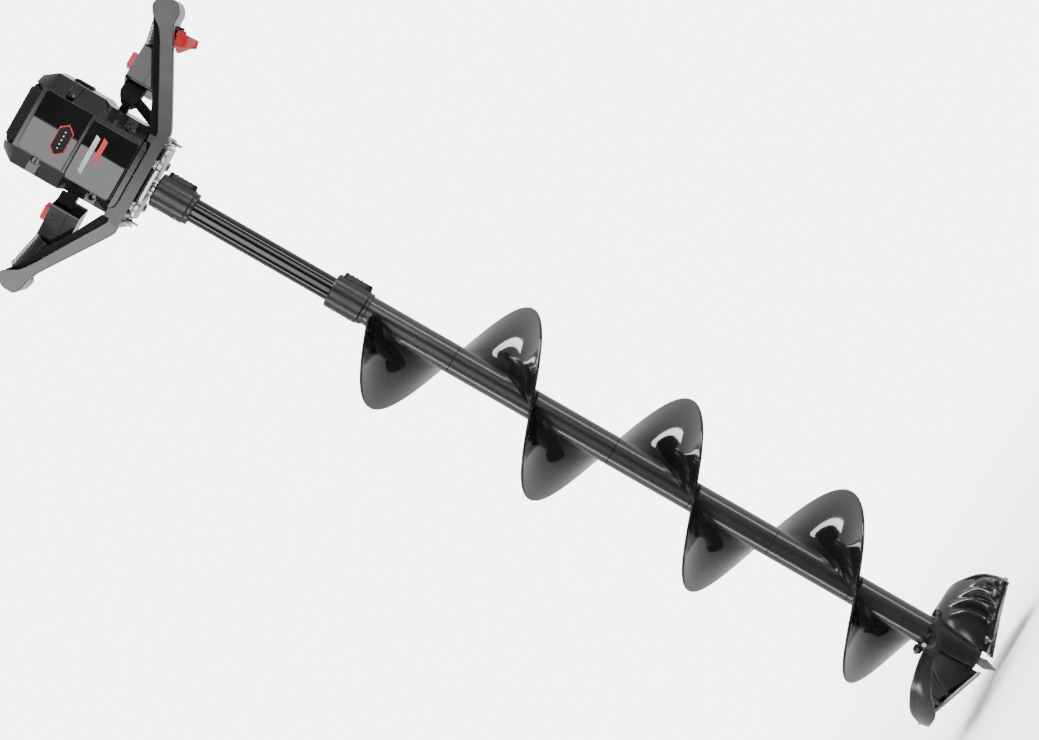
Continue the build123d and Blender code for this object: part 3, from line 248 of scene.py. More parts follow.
def area_light(name, place, target, width, height, power, mirrored=True, turn=0.0):
    """A soft box that faces its target; mirrored says whether glossy surfaces show it."""
    data = bpy.data.lights.new(name, "AREA")
    data.shape = "RECTANGLE"
    data.size = width
    data.size_y = height
    data.energy = power
    light = bpy.data.objects.new(name, data)
    bpy.context.scene.collection.objects.link(light)
    aim = Vector(target) - Vector(place)
    facing = aim.to_track_quat("-Z", "Y") @ Quaternion((0, 0, 1), math.radians(turn))
    light.rotation_euler = facing.to_euler()
    light.location = place
    light.visible_glossy = mirrored


def make_surround():
    """White surround as the camera sees it, and a darker room, lit from behind, elsewhere."""
    world = bpy.data.worlds.new("studio")
    world.use_nodes = True
    tree = world.node_tree
    output = tree.nodes["World Output"]
    seen = tree.nodes["Background"]
    seen.inputs["Color"].default_value = (1.0, 1.0, 1.0, 1)
    seen.inputs["Strength"].default_value = 6.0
    direction = tree.nodes.new("ShaderNodeTexCoord").outputs["Generated"]
    parts = tree.nodes.new("ShaderNodeSeparateXYZ")
    tree.links.new(direction, parts.inputs["Vector"])
    depth = tree.nodes.new("ShaderNodeMapRange")
    depth.interpolation_type = "SMOOTHSTEP"
    depth.inputs["From Min"].default_value = -0.95
    depth.inputs["From Max"].default_value = 0.60
    depth.inputs["To Min"].default_value = 0.14
    depth.inputs["To Max"].default_value = 1.25
    tree.links.new(parts.outputs["Y"], depth.inputs["Value"])
    room = tree.nodes.new("ShaderNodeBackground")
    tree.links.new(depth.outputs["Result"], room.inputs["Strength"])
    path = tree.nodes.new("ShaderNodeLightPath")
    mix = tree.nodes.new("ShaderNodeMixShader")
    tree.links.new(path.outputs["Is Camera Ray"], mix.inputs["Fac"])
    tree.links.new(room.outputs["Background"], mix.inputs[1])
    tree.links.new(seen.outputs["Background"], mix.inputs[2])
    tree.links.new(mix.outputs["Shader"], output.inputs["Surface"])
    bpy.context.scene.world = world


def make_floor():
    """Pale floor that fades out into the surround some way from the auger."""
    bpy.ops.mesh.primitive_plane_add(size=40, location=(0, 0, 0))
    floor = bpy.context.object
    floor.name = "floor"
    floor.visible_glossy = False
    material = make_material("floor_pale", (0.90, 0.90, 0.90), (0.93, 0.93, 0.93), (0.6, 0.7),
                             30, 0.0001, specular=0.1, cloud=1.0)
    tree = material.node_tree
    place = tree.nodes.new("ShaderNodeTexCoord").outputs["Object"]
    reach = tree.nodes.new("ShaderNodeVectorMath")
    reach.operation = "LENGTH"
    tree.links.new(place, reach.inputs[0])
    edge = tree.nodes.new("ShaderNodeMapRange")
    edge.interpolation_type = "SMOOTHSTEP"
    edge.inputs["From Min"].default_value = 0.35
    edge.inputs["From Max"].default_value = 2.2
    edge.inputs["To Min"].default_value = 1.0
    edge.inputs["To Max"].default_value = 0.0
    tree.links.new(reach.outputs["Value"], edge.inputs["Value"])
    tree.links.new(edge.outputs["Result"], tree.nodes["Principled BSDF"].inputs["Alpha"])
    floor.data.materials.append(material)


def make_lights():
    """Soft boxes in front, strips at the sides and overhead, and a broad light from the top."""
    area_light("front_left_box", (-2.0, -5.0, 1.95), (-0.9, 0, 1.6), 3.45, 1.7, 151)
    area_light("front_right_box", (3.4, -4.6, 1.9), (0.6, 0, 1.4), 2.2, 2.0, 75)
    area_light("left_strip", (-3.0, -0.8, 1.2), (0, 0, 0.7), 0.5, 3.0, 60)
    area_light("right_strip", (3.0, -1.0, 1.0), (0, 0, 0.7), 0.4, 3.0, 45)
    area_light("ceiling_strip", (0.7, 1.55, 5.5), (0.7, 1.55, 0), 4.6, 0.95, 320, turn=145)
    area_light("top_box", (0.0, 1.5, 5.5), (0, 1.5, 0), 9.0, 8.0, 1900, mirrored=False)


make_camera()
make_surround()
make_floor()
make_lights()
dress_cad_nodes()


# ---------------------------------------------------------------- helicoid flights
FLIGHT_TOP = 0.830
PITCH = 0.212
SECTION = PITCH / 2
SECTIONS = 7
FLIGHT_STEPS = 56
TIP_RADIUS = 0.097
CORE_RADIUS = 0.0176
ROOT_SUNK = 0.0006      # how far a section's root reaches into the core
ROOT_WIDTH = 0.021
ROOT_FLARE = 0.0075
ROOT_EDGE = 0.038
HALF_THICKNESS = 0.0019
RIM_RADIUS = 0.0016
JOINT_GAP = 0.0001

# At a front joint the lower section laps under the turn above, with a thin rounded nose.
NOSED_SECTIONS = (3, 5, 7)
NOSE_ANGLE = 13.0
NOSE_DROP = 0.0046
NOSE_STEPS = 12
NOSE_THICKNESS = 1.25
NOSE_TAPER_START = 0.75
NOSE_TAPER = 14


def new_piece(name, work, body, slot, nodes, sharp=40):
    """Turns a bmesh into a piece that rides on a body and stands for CAD nodes."""
    bmesh.ops.recalc_face_normals(work, faces=work.faces)
    mesh = bpy.data.meshes.new(name)
    work.to_mesh(mesh)
    work.free()
    piece = bpy.data.objects.new(name, mesh)
    bpy.context.scene.collection.objects.link(piece)
    shade(piece, sharp)
    dress(piece, slot)
    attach(piece, body)
    if nodes:
        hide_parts(*nodes)
    return piece


def flight_profile():
    """Upper half of a radial cut, as radius and half thickness: a root that thickens towards
    the core, a thin blade and a rounded rim."""
    profile = []
    root_steps, blade_steps, rim_steps = 14, 11, 6
    thinning = 0.0002
    for step in range(root_steps + 1):
        share = step / root_steps
        radius = CORE_RADIUS - ROOT_SUNK + share * ROOT_WIDTH
        profile.append((radius, HALF_THICKNESS + ROOT_FLARE * (1 - share) ** 3.2))
    for step in range(1, blade_steps + 1):
        share = step / blade_steps
        radius = ROOT_EDGE + share * (TIP_RADIUS - RIM_RADIUS - ROOT_EDGE)
        profile.append((radius, HALF_THICKNESS - thinning * share))
    for step in range(1, rim_steps):
        turn = math.radians(90 * step / rim_steps)
        profile.append((TIP_RADIUS - RIM_RADIUS + RIM_RADIUS * math.sin(turn),
                        0.0017 * math.cos(turn)))
    return profile


def ring_of(profile):
    """Closed loop round the cut, up the upper face and back down the lower one."""
    lower = [(radius, -half) for radius, half in reversed(profile)]
    return profile + [(TIP_RADIUS, 0.0)] + lower


def helix_height(angle):
    """Height of the flight's middle at an angle in radians."""
    return FLIGHT_TOP + PITCH * (math.degrees(angle) + 90) / 360


def nose_rows(work, loop, top_angle):
    """Rows of vertices of the lapped nose, from its thin tip back to the joint."""
    rows = []
    for step in range(NOSE_STEPS):
        share = 1 - step / NOSE_STEPS
        angle = math.radians(top_angle + NOSE_ANGLE * share)
        middle = helix_height(angle)
        drop = NOSE_DROP * math.sin(math.pi / 2 * share)
        thin = math.sqrt(1 - max(0, share - NOSE_TAPER_START) ** 2 * NOSE_TAPER)
        rows.append([work.verts.new((radius * math.cos(angle), radius * math.sin(angle),
                                     middle - drop + NOSE_THICKNESS * thin * lift))
                     for radius, lift in loop])
    return rows


def make_flight(number):
    """One moulded half turn of the right-hand flight."""
    top_angle = -90 - 180 * (number - 1)
    loop = ring_of(flight_profile())
    low = FLIGHT_TOP - number * SECTION
    high = low + SECTION
    work = bmesh.new()
    rows = nose_rows(work, loop, top_angle) if number in NOSED_SECTIONS else []
    for step in range(FLIGHT_STEPS + 1):
        angle = math.radians(top_angle - 180 * step / FLIGHT_STEPS)
        middle = helix_height(angle)
        row = []
        for radius, lift in loop:
            z = min(max(middle + lift, low + JOINT_GAP), high - JOINT_GAP)
            row.append(work.verts.new((radius * math.cos(angle), radius * math.sin(angle), z)))
        rows.append(row)
    count = len(loop)
    for first, second in zip(rows, rows[1:]):
        for i in range(count):
            j = (i + 1) % count
            work.faces.new((first[i], first[j], second[j], second[i]))
    work.faces.new(list(reversed(rows[0])))
    work.faces.new(rows[-1])
    new_piece(f"flight_{number}", work, "auger", "flight", [f"flight_section_{number}"], 35)


for section in range(1, SECTIONS + 1):
    make_flight(section)


# ---------------------------------------------------------------- softened CAD nodes
LINK_START = -0.0655    # the left box ends and its link begins at this x


def paint_shade_on_link(box):
    """Paints shade on the left switch box's link to the housing: its faces take the darker,
    matt painted-shade material that the right elbow also has.
    """
    box.data.materials.append(MATERIALS["joint"])
    for face in box.data.polygons:
        if face.center.x > LINK_START:
            face.material_index = 1


def soften_the_rest():
    """Rounds the edges of the plainer pieces, by as much as each one's making leaves them."""
    softened("battery_cap", "cap", "battery", 0.0016, 3)
    softened("battery_latch", "cap", "latch", 0.0003)
    softened("lower_panel", "panel", "powerhead", 0.0006, 3)
    softened("shell_screws", "housing", "powerhead", 0.0003)
    # Painted shade: the left box's link takes the darker, matt painted-shade material.
    paint_shade_on_link(softened("left_box", "housing", "powerhead", 0.0012, 3))
    softened("left_box_cover", "housing", "powerhead", 0.0010, 3)
    softened("right_box", "housing", "powerhead", 0.0012, 3)
    softened("right_box_cover", "housing", "powerhead", 0.0010, 3)
    # Painted shade: the right elbow takes the darker, matt painted-shade material.
    dress(softened("right_elbow", "frame", "powerhead", 0.0014, 3), "joint")
    softened("reverse_button", "red", "reverse_button", 0.0007, 3)
    softened("safety_button", "red", "safety_button", 0.0007, 3)
    softened("right_blade", "steel", "auger", 0.0003)
    softened("left_blade", "steel", "auger", 0.0003)
    softened("blade_screws", "zinc", "auger", 0.0005, 3)
    softened("centre_point", "steel", "auger", 0.0004)
    softened("housing_front", "housing", "powerhead", 0.0010, 3)
    softened("housing_rear", "housing", "powerhead", 0.0010, 3)


def make_button_springs():
    """Springs under the two buttons, copied as they stand and carried by the powerhead."""
    for button in ("reverse", "safety"):
        node = f"{button}_spring"
        piece = bpy.data.objects.new(f"{button}_coil", frame["nodes"][node].data.copy())
        bpy.context.scene.collection.objects.link(piece)
        dress(piece, "steel")
        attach(piece, "powerhead")
        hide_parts(node)
        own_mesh(piece)


soften_the_rest()
make_button_springs()


# ---------------------------------------------------------------- solids drawn as outlines
def prism(work, outline, place):
    """Adds a closed prism: outline points (u, v) at the two depths that place() gives."""
    near = [work.verts.new(place(u, v, 0)) for u, v in outline]
    far = [work.verts.new(place(u, v, 1)) for u, v in outline]
    work.faces.new(near)
    work.faces.new(list(reversed(far)))
    for i in range(len(outline)):
        j = (i + 1) % len(outline)
        work.faces.new((near[j], near[i], far[i], far[j]))


def rounded(outline, rounds=2, share=0.22):
    """Cuts an outline's corners, which turns a polygon into a moulded curve."""
    for _ in range(rounds):
        cut = []
        for (x0, y0), (x1, y1) in zip(outline, outline[1:] + outline[:1]):
            cut.append((x0 + share * (x1 - x0), y0 + share * (y1 - y0)))
            cut.append((x1 - share * (x1 - x0), y1 - share * (y1 - y0)))
        outline = cut
    return outline


def rounded_open(points, rounds, share):
    """Cuts the inner corners of an open line and keeps its two ends."""
    for _ in range(rounds):
        cut = [points[0]]
        for (x0, y0), (x1, y1) in zip(points, points[1:]):
            cut.append((x0 + share * (x1 - x0), y0 + share * (y1 - y0)))
            cut.append((x1 - share * (x1 - x0), y1 - share * (y1 - y0)))
        points = cut + [points[-1]]
    return points


# ---------------------------------------------------------------- handle bow
BOW_FRONT = -50.0
BAR_HALF = 58.0
WING_SWEEP = math.radians(14)
WING = {
    -1: [(58, 1131.5), (67, 1132), (92, 1148.5), (138, 1179.5), (158, 1192.5), (174, 1196),
         (186, 1201), (186.5, 1214), (184, 1221), (172, 1228.5), (167, 1225), (156, 1205),
         (92, 1166), (58, 1145)],
    1: [(58, 1131.5), (67, 1131.5), (92, 1145.5), (138, 1172), (168, 1190), (178, 1193.5),
        (189, 1193), (198.5, 1200.5), (200.5, 1209), (190, 1226), (183, 1226.5), (173, 1220),
        (161, 1203), (92, 1164), (58, 1145)],
}
LOBE = {
    -1: [(164, 1194), (176, 1195.5), (186, 1201), (186.5, 1214), (184, 1221), (172, 1228.5),
         (166, 1223)],
    1: [(170, 1191.5), (178, 1193.5), (189, 1193), (198.5, 1200.5), (200.5, 1209), (190, 1226),
        (183, 1226.5), (172, 1219)],
}
FLANGE = {
    -1: [(54, 1139), (92, 1159), (156, 1200), (172, 1224), (166, 1224), (156, 1215.5),
         (92, 1176), (54, 1155.3)],
    1: [(54, 1139), (92, 1157), (161, 1197), (176, 1218), (170, 1219), (161, 1212.5),
        (92, 1173), (54, 1154.3)],
}


def swept(side, near, far):
    """Places outline points on a wing that leans back, between two depths behind its front."""
    def place(x, z, end):
        y = BOW_FRONT + (x - BAR_HALF) * math.tan(WING_SWEEP) + (far if end else near)
        return Vector((side * x, y, z)) * MM
    return place


def straight(side, front, back):
    """Places outline points between two upright planes across Y."""
    def place(x, z, end):
        return Vector((side * x, back if end else front, z)) * MM
    return place


def lobe_block(side, back):
    """Places outline points just behind a wing's front and on an upright plane behind it."""
    front = swept(side, 2, 2)
    rear = straight(side, back, back)
    return lambda x, z, end: rear(x, z, 1) if end else front(x, z, 0)


def drawn_in(outline, share):
    """Shrinks an outline towards its middle."""
    x0 = sum(x for x, _ in outline) / len(outline)
    y0 = sum(y for _, y in outline) / len(outline)
    return [(x0 + share * (x - x0), y0 + share * (y - y0)) for x, y in outline]


def add_block(work, outline, place, width):
    """Adds a prism with rounded edges, but keeps the rim where bar and wing meet end to end."""
    block = bmesh.new()
    prism(block, outline, place)
    bmesh.ops.recalc_face_normals(block, faces=block.faces)
    meeting = BAR_HALF * MM
    edges = [edge for edge in block.edges
             if edge.calc_face_angle(0) > math.radians(28)
             and not all(abs(abs(vert.co.x) - meeting) < 1e-5 for vert in edge.verts)]
    bmesh.ops.bevel(block, geom=edges, offset=width, offset_type="OFFSET", segments=3,
                    profile=0.5, affect="EDGES", clamp_overlap=True)
    mesh = bpy.data.meshes.new("block")
    block.to_mesh(mesh)
    block.free()
    work.from_mesh(mesh)
    bpy.data.meshes.remove(mesh)


def make_bow():
    """Base bar and tray, the two swept wings with their set-back flange, and the end lobes."""
    work = bmesh.new()
    bar = [(-58, 1131.5), (58, 1131.5), (58, 1145), (-58, 1145)]
    add_block(work, bar, straight(1, BOW_FRONT, 50), 0.0008)
    tray = [(-55, 1134), (55, 1134), (55, 1153.8), (-55, 1153.8)]
    add_block(work, tray, straight(1, -42, 49.6), 0.0008)
    pad = [(-39.5, 1128.6), (46.5, 1128.6), (46.5, 1140), (-39.5, 1140)]
    add_block(work, pad, straight(1, -30, 30), 0.0006)
    for side in (-1, 1):
        add_block(work, rounded_open(WING[side], 3, 0.17), swept(side, 0, 18), 0.0008)
        add_block(work, rounded(drawn_in(LOBE[side], 0.96), 3, 0.22), lobe_block(side, 57),
                  0.0015)
    piece = new_piece("handle_bow", work, "powerhead", "frame", ["handle_frame"], 40)
    even = piece.modifiers.new("even", "WEIGHTED_NORMAL")
    even.weight = 90
    even.keep_sharp = True
    apply_modifiers(piece)

    # Painted shade: the set-back flanges take the darker, matt painted-shade material in place
    # of the frame's black.
    work = bmesh.new()
    for side in (-1, 1):
        add_block(work, rounded_open(FLANGE[side], 1, 0.14), swept(side, 8.3, 14.5), 0.0006)
    dress(new_piece("wing_flanges", work, "powerhead", "frame", ["handle_frame"], 40), "joint")


make_bow()


# ---------------------------------------------------------------- turned pieces
def join_rings(work, rings):
    """Skins closed rings of vertices that run round in a circle."""
    for first, second in zip(rings, rings[1:] + rings[:1]):
        count = len(first)
        for j in range(count):
            k = (j + 1) % count
            work.faces.new((first[j], first[k], second[k], second[j]))


def lathe(work, profile, segments=96):
    """Adds a closed ring turned about an upright axis from a closed (radius, z) profile."""
    rings = []
    for step in range(segments):
        angle = 2 * math.pi * step / segments
        rings.append([work.verts.new((r * math.cos(angle) * MM, r * math.sin(angle) * MM,
                                      z * MM)) for r, z in profile])
    join_rings(work, rings)


def rod(work, start, direction, radius, length, sides=32, turn=0.0):
    """Adds a closed bar with a small chamfer at each end; six sides make a bolt head."""
    way = Vector(direction).normalized()
    across = way.orthogonal().normalized()
    other = way.cross(across)
    edge = min(0.18 * radius, 0.2 * length)
    cuts = [(0, radius - edge), (edge, radius), (length - edge, radius),
            (length, radius - edge)]
    rings = []
    for along_way, size in cuts:
        ring = []
        for step in range(sides):
            angle = turn + 2 * math.pi * step / sides
            point = (Vector(start) + way * along_way
                     + across * size * math.cos(angle) + other * size * math.sin(angle))
            ring.append(work.verts.new(point * MM))
        rings.append(ring)
    for first, second in zip(rings, rings[1:]):
        for i in range(sides):
            j = (i + 1) % sides
            work.faces.new((first[i], first[j], second[j], second[i]))
    work.faces.new(list(reversed(rings[0])))
    work.faces.new(rings[-1])


def make_extension_tube():
    """Plain tube between the two collars, its ends chamfered."""
    work = bmesh.new()
    profile = [(12.06, 842), (14.0, 842), (14.45, 842.5), (14.45, 1111.5), (14.0, 1112),
               (12.06, 1112)]
    lathe(work, profile)
    new_piece("extension", work, "auger", "black_tube", ["extension_tube"], 30)


def make_core():
    """Core of the moulded sections: a fine groove marks each section's joint."""
    bore, outside, groove = 15.7, 17.6, 17.0
    bottom, top = 70, 862
    outer = [(17.2, bottom), (outside, bottom + 0.5)]
    for z in range(194, 725, 106):
        outer += [(outside, z - 0.5), (groove, z), (outside, z + 0.5)]
    outer += [(outside, top - 0.5), (17.2, top)]
    work = bmesh.new()
    lathe(work, [(bore, bottom)] + outer + [(bore, top)])
    dress(new_piece("core", work, "auger", "black_tube", ["core_tube"], 30), "core")


def cut_out(piece, cutters):
    """Cuts drilled holes and pockets out of a piece."""
    mesh = bpy.data.meshes.new("cutters")
    bmesh.ops.recalc_face_normals(cutters, faces=cutters.faces)
    cutters.to_mesh(mesh)
    cutters.free()
    tool = bpy.data.objects.new("cutters", mesh)
    bpy.context.scene.collection.objects.link(tool)
    cut = piece.modifiers.new("cut", "BOOLEAN")
    cut.operation = "DIFFERENCE"
    cut.solver = "EXACT"
    cut.use_self = True
    cut.object = tool
    apply_modifiers(piece)
    bpy.data.objects.remove(tool)


BOLT_TURN = math.radians(12)
BOLT_AXIS = Vector((math.cos(BOLT_TURN), math.sin(BOLT_TURN), 0))
COLLAR_BORE = 14.5
COLLARS = {     # foot, top, and the heights of the two bolts
    "upper_collar": (1070.0, 1119.5, (1085.0, 1107.5)),
    "lower_collar": (838.0, 886.5, (852.5, 873.5)),
}


def make_collar(name):
    """Clamping collar with a lip at its foot, a ribbed bolt pad and two sunk bolt holes."""
    bottom, top, bolts = COLLARS[name]
    profile = [(COLLAR_BORE, bottom), (18.8, bottom), (19.4, bottom + 0.6),
               (19.4, bottom + 4.6), (20.8, bottom + 6.4), (20.8, top - 2.0),
               (20.2, top - 1.2), (19.2, top - 0.3), (18.6, top), (COLLAR_BORE, top)]
    work = bmesh.new()
    lathe(work, profile, segments=128)
    piece = new_piece(f"{name}_body", work, "auger", "collar", [name], 30)
    cutters = bmesh.new()
    for z in bolts:
        start = BOLT_AXIS * -30 + Vector((0, 0, z))
        rod(cutters, start, BOLT_AXIS, 6.4, 12.0, 48)
        rod(cutters, start, BOLT_AXIS, 3.1, 20.0, 32)
    cut_out(piece, cutters)
    shade(piece, 30)

    pad = bmesh.new()
    across = Vector((-BOLT_AXIS.y, BOLT_AXIS.x, 0))
    middle = (bolts[0] + bolts[1]) / 2
    outline = rounded([(-8.2, -19), (8.2, -19), (8.2, 19), (-8.2, 19)], 3, 0.12)

    def place(u, v, end):
        out = 25.2 if end else 14.6
        shrink = 0.94 if end else 1.0
        return (BOLT_AXIS * out + across * u * shrink
                + Vector((0, 0, middle + v * shrink))) * MM

    prism(pad, outline, place)
    for step in range(6):
        z = middle - 15 + 6 * step
        rib = [(-6.8, -0.9), (6.8, -0.9), (6.8, 0.9), (-6.8, 0.9)]
        prism(pad, rib, lambda u, v, end, z=z: (BOLT_AXIS * (25.9 if end else 24.6) + across * u
                                               + Vector((0, 0, z + v))) * MM)
    new_piece(f"{name}_pad", pad, "auger", "collar", [], 30)


def make_cross_bolts():
    """Hex heads at the bottom of their pockets, and the bolt ends behind them."""
    work = bmesh.new()
    for z in [z for _, _, bolts in COLLARS.values() for z in bolts]:
        start = BOLT_AXIS * -20.8 + Vector((0, 0, z))
        rod(work, start, BOLT_AXIS, 5.3, 3.0, 6)
        rod(work, start + BOLT_AXIS * 2.8, BOLT_AXIS, 2.9, 38.0, 24)
        rod(work, start - BOLT_AXIS * 0.6, BOLT_AXIS, 2.6, 1.4, 24)
    new_piece("collar_bolts", work, "auger", "zinc", ["cross_bolts"], 25)


# ---------------------------------------------------------------- cutting head
# Round a scoop: the angle, and the height of its sheet at the hub and at the rim.
HEAD_COLUMNS = [(-8, 21, 48), (8, 27, 55), (22, 42, 67), (38, 62, 78), (55, 80, 87),
                (72, 87, 88), (90, 88, 88)]
HEAD_LIP = (106, 95, 100)
SKIRT_LOW = [40, 38, 39, 43, 62, 77, 86]
SCOOP_HUB = 12
SCOOP_WIDTH = 85
# Each finger's radius, and the angle it reaches back to.
FINGERS = [(45, 50), (59, 50), (74, 44), (88, 38)]
FINGER_HEIGHT = 11.0
FINGER_WIDTH = 5.4
HOLLOW_DEPTH = 4.5


def curve_at(values, where):
    """Smooth curve through evenly spaced values."""
    last = len(values) - 1
    index = min(int(where), last - 1)
    t = where - index
    p0, p1 = values[max(index - 1, 0)], values[index]
    p2, p3 = values[index + 1], values[min(index + 2, last)]
    return 0.5 * (2 * p1 + (p2 - p0) * t + (2 * p0 - 5 * p1 + 4 * p2 - p3) * t * t
                  + (3 * p1 - p0 - 3 * p2 + p3) * t ** 3)


def ease(value):
    """Smooth step from 0 to 1."""
    value = min(max(value, 0.0), 1.0)
    return value * value * (3 - 2 * value)


def finger_lift(radius, angle):
    """Height of the four curved fingers pressed into a scoop, over the hollows between them."""
    lift = 0.0
    for centre, reach in FINGERS:
        drift = centre - 4.0 * ease(angle / reach) ** 2
        across = math.exp(-(abs(radius - drift) / FINGER_WIDTH) ** 2.6)
        tail = ease((reach - angle) / 30)
        tip = ease((angle + 2.5) / 4.0)
        lift = max(lift, FINGER_HEIGHT * across * tail * tip)
    valley = ease((angle + 3) / 4) * ease((56 - angle) / 36) * ease((radius - 36) / 8)
    return lift - HOLLOW_DEPTH * valley


def grid_faces(work, rows, flip=False):
    """Skins a grid of vertices."""
    for first, second in zip(rows, rows[1:]):
        for a, b, c, d in zip(first, first[1:], second[1:], second):
            work.faces.new((d, c, b, a) if flip else (a, b, c, d))


def close_grids(work, upper, lower):
    """Joins two grids with the same outline into a closed sheet."""
    grid_faces(work, upper)
    grid_faces(work, lower, flip=True)
    top_edge = upper[0] + [row[-1] for row in upper[1:]]
    top_edge += upper[-1][-2::-1] + [row[0] for row in upper[-2:0:-1]]
    low_edge = lower[0] + [row[-1] for row in lower[1:]]
    low_edge += lower[-1][-2::-1] + [row[0] for row in lower[-2:0:-1]]
    count = len(top_edge)
    for i in range(count):
        j = (i + 1) % count
        work.faces.new((top_edge[j], top_edge[i], low_edge[i], low_edge[j]))


def edge_rounded(piece, width, angle=50):
    """Rounds a finished piece's sharp edges."""
    edge = piece.modifiers.new("edge", "BEVEL")
    edge.width = width
    edge.segments = 3
    edge.limit_method = "ANGLE"
    edge.angle_limit = math.radians(angle)
    shade(piece, 60)
    apply_modifiers(piece)


def scoop_sheet(start, angles, hubs, rims):
    """Thick twisted sheet, crowned between hub and rim, with its pressed fingers."""
    steps, spokes = 110, 100
    sheet = bmesh.new()
    upper, lower = [], []
    for i in range(steps + 1):
        where = (len(angles) - 1) * i / steps
        angle = curve_at(angles, where)
        hub_z, rim_z = curve_at(hubs, where), curve_at(rims, where)
        turned = math.radians(angle + start)
        thickness = 7.0 - 2.4 * ease((angle - 80) / 20)
        crown = ease((angle + 4) / 30) * ease((95 - angle) / 40)
        top_row, low_row = [], []
        for j in range(spokes + 1):
            share = j / spokes
            radius = SCOOP_HUB + SCOOP_WIDTH * share
            z = hub_z + (rim_z - hub_z) * share + 5.0 * math.sin(math.pi * share) * crown
            bump = finger_lift(radius, angle)
            x, y = radius * math.cos(turned), radius * math.sin(turned)
            top_row.append(sheet.verts.new(Vector((x, y, z + bump)) * MM))
            low_row.append(sheet.verts.new(Vector((x, y, z - thickness + 0.5 * bump)) * MM))
        upper.append(top_row)
        lower.append(low_row)
    close_grids(sheet, upper, lower)
    return sheet


def scoop_skirt(start, angles, rims):
    """Band that hangs under a scoop's rim and bulges a little outwards."""
    steps, rows = 60, 6
    outer_radii = [95.8 + 1.1 * math.sin(row * 0.52) for row in range(rows + 1)]
    inner_radii = [93.6] * (rows + 1)
    skirt = bmesh.new()
    outer, inner = [], []
    for i in range(steps + 1):
        where = (len(SKIRT_LOW) - 1) * i / steps
        turned = math.radians(curve_at(angles, where) + start)
        low_z, rim_z = curve_at(SKIRT_LOW, where), curve_at(rims, where) - 0.8
        for grid, radii in ((outer, outer_radii), (inner, inner_radii)):
            grid.append([skirt.verts.new(Vector((radius * math.cos(turned),
                                                 radius * math.sin(turned),
                                                 low_z + (rim_z - low_z) * row / rows)) * MM)
                         for row, radius in enumerate(radii)])
    close_grids(skirt, outer, inner)
    return skirt


def make_scoop(name, start, columns):
    """One scoop: its sheet, and the skirt under its rim."""
    angles, hubs, rims = ([column[i] for column in columns] for i in range(3))
    scoop = new_piece(name, scoop_sheet(start, angles, hubs, rims), "auger", "flight",
                      ["cutting_head"], 50)
    edge_rounded(scoop, 0.0012)
    dress(scoop, "head")

    count = len(SKIRT_LOW)
    band = new_piece(f"{name}_skirt", scoop_skirt(start, angles[:count], rims[:count]),
                     "auger", "flight", [], 50)
    edge_rounded(band, 0.0009)
    dress(band, "head")


def make_hub():
    """Tapered hub with its clamp ring on the core, the ring's two ears, and their bolts."""
    work = bmesh.new()
    profile = [(0.5, 26), (11.5, 26), (13.2, 28), (15.5, 50), (20.5, 84), (22.0, 87),
               (22.0, 93), (21.2, 94.2), (17.7, 94.2), (17.7, 86), (0.5, 86)]
    lathe(work, profile, segments=72)
    for side in (-1, 1):
        ear = rounded([(18, 86), (27, 87.5), (28.5, 92), (27, 97.5), (18, 98)], 2, 0.2)
        prism(work, ear, lambda u, v, end, side=side:
              Vector((side * u, side * (7 if end else 1), v)) * MM)
    dress(new_piece("head_hub", work, "auger", "flight", ["cutting_head"], 30), "head")
    bolts = bmesh.new()
    for side in (-1, 1):
        rod(bolts, (side * 24.0, side * -1.4, 93), (0, side, 0), 2.7, 11.0, 6)
        rod(bolts, (side * -11.5, side * -18.0, 90.5), (side * -0.55, side * -0.83, 0),
            3.4, 5.4, 6)
        rod(bolts, (side * -26, side * -19.5, 92), (0, 0, 1), 2.8, 4.2, 6)
    new_piece("hub_bolts", bolts, "auger", "zinc", [], 25)


make_extension_tube()
make_core()
for collar_name in COLLARS:
    make_collar(collar_name)
make_cross_bolts()
make_scoop("scoop_right", 0, HEAD_COLUMNS)
make_scoop("scoop_left", 180, HEAD_COLUMNS + [HEAD_LIP])
make_hub()


# ---------------------------------------------------------------- base plate and bolts
def make_base_plate():
    """Bright plate with rounded corners, and the bolts and small screws round it."""
    work = bmesh.new()
    plate = rounded([(-42.5, -32), (49.5, -32), (49.5, 32), (-42.5, 32)], 3, 0.08)
    prism(work, plate, lambda u, v, end: Vector((u, v, 1128.4 if end else 1123.8)) * MM)
    piece = new_piece("plate", work, "powerhead", "steel", ["base_plate"], 30)
    hole = bmesh.new()
    rod(hole, (0, 0, 1118), (0, 0, 1), 13.5, 16, 64)
    cut_out(piece, hole)
    edge_rounded(piece, 0.0005)

    bolts = bmesh.new()
    for x in (-28.3, 26.0):
        for y in (-38.0, 38.0):
            rod(bolts, (x, y, 1121.5), (0, 0, 1), 5.6, 6.4, 6, math.radians(15))
            rod(bolts, (x, y, 1128.0), (0, 0, 1), 7.2, 1.6, 40)
            rod(bolts, (x, y, 1129.4), (0, 0, 1), 5.8, 2.4, 32)
    for x in (54.5, -50.0):
        for y in (-30.0, 30.0):
            rod(bolts, (x, y, 1119.6), (0, 0, 1), 1.7, 12.4, 20)
            rod(bolts, (x, y, 1127.6), (0, 0, 1), 3.4, 3.0, 28)
    new_piece("plate_bolts", bolts, "powerhead", "zinc", ["frame_bolts"], 25)


# ---------------------------------------------------------------- grips and trigger
GRIP = {
    -1: {"inner": 67.0, "outer": 109.5, "lobe": 166.0, "y": 8.0},
    1: {"inner": 89.0, "outer": 134.0, "lobe": 170.0, "y": 14.0},
}
GRIP_SWEEP = math.radians(17)
GRIP_SLOPE = math.radians(13)
GRIP_HEIGHT = 1199.0
GRIP_SIDES = 72


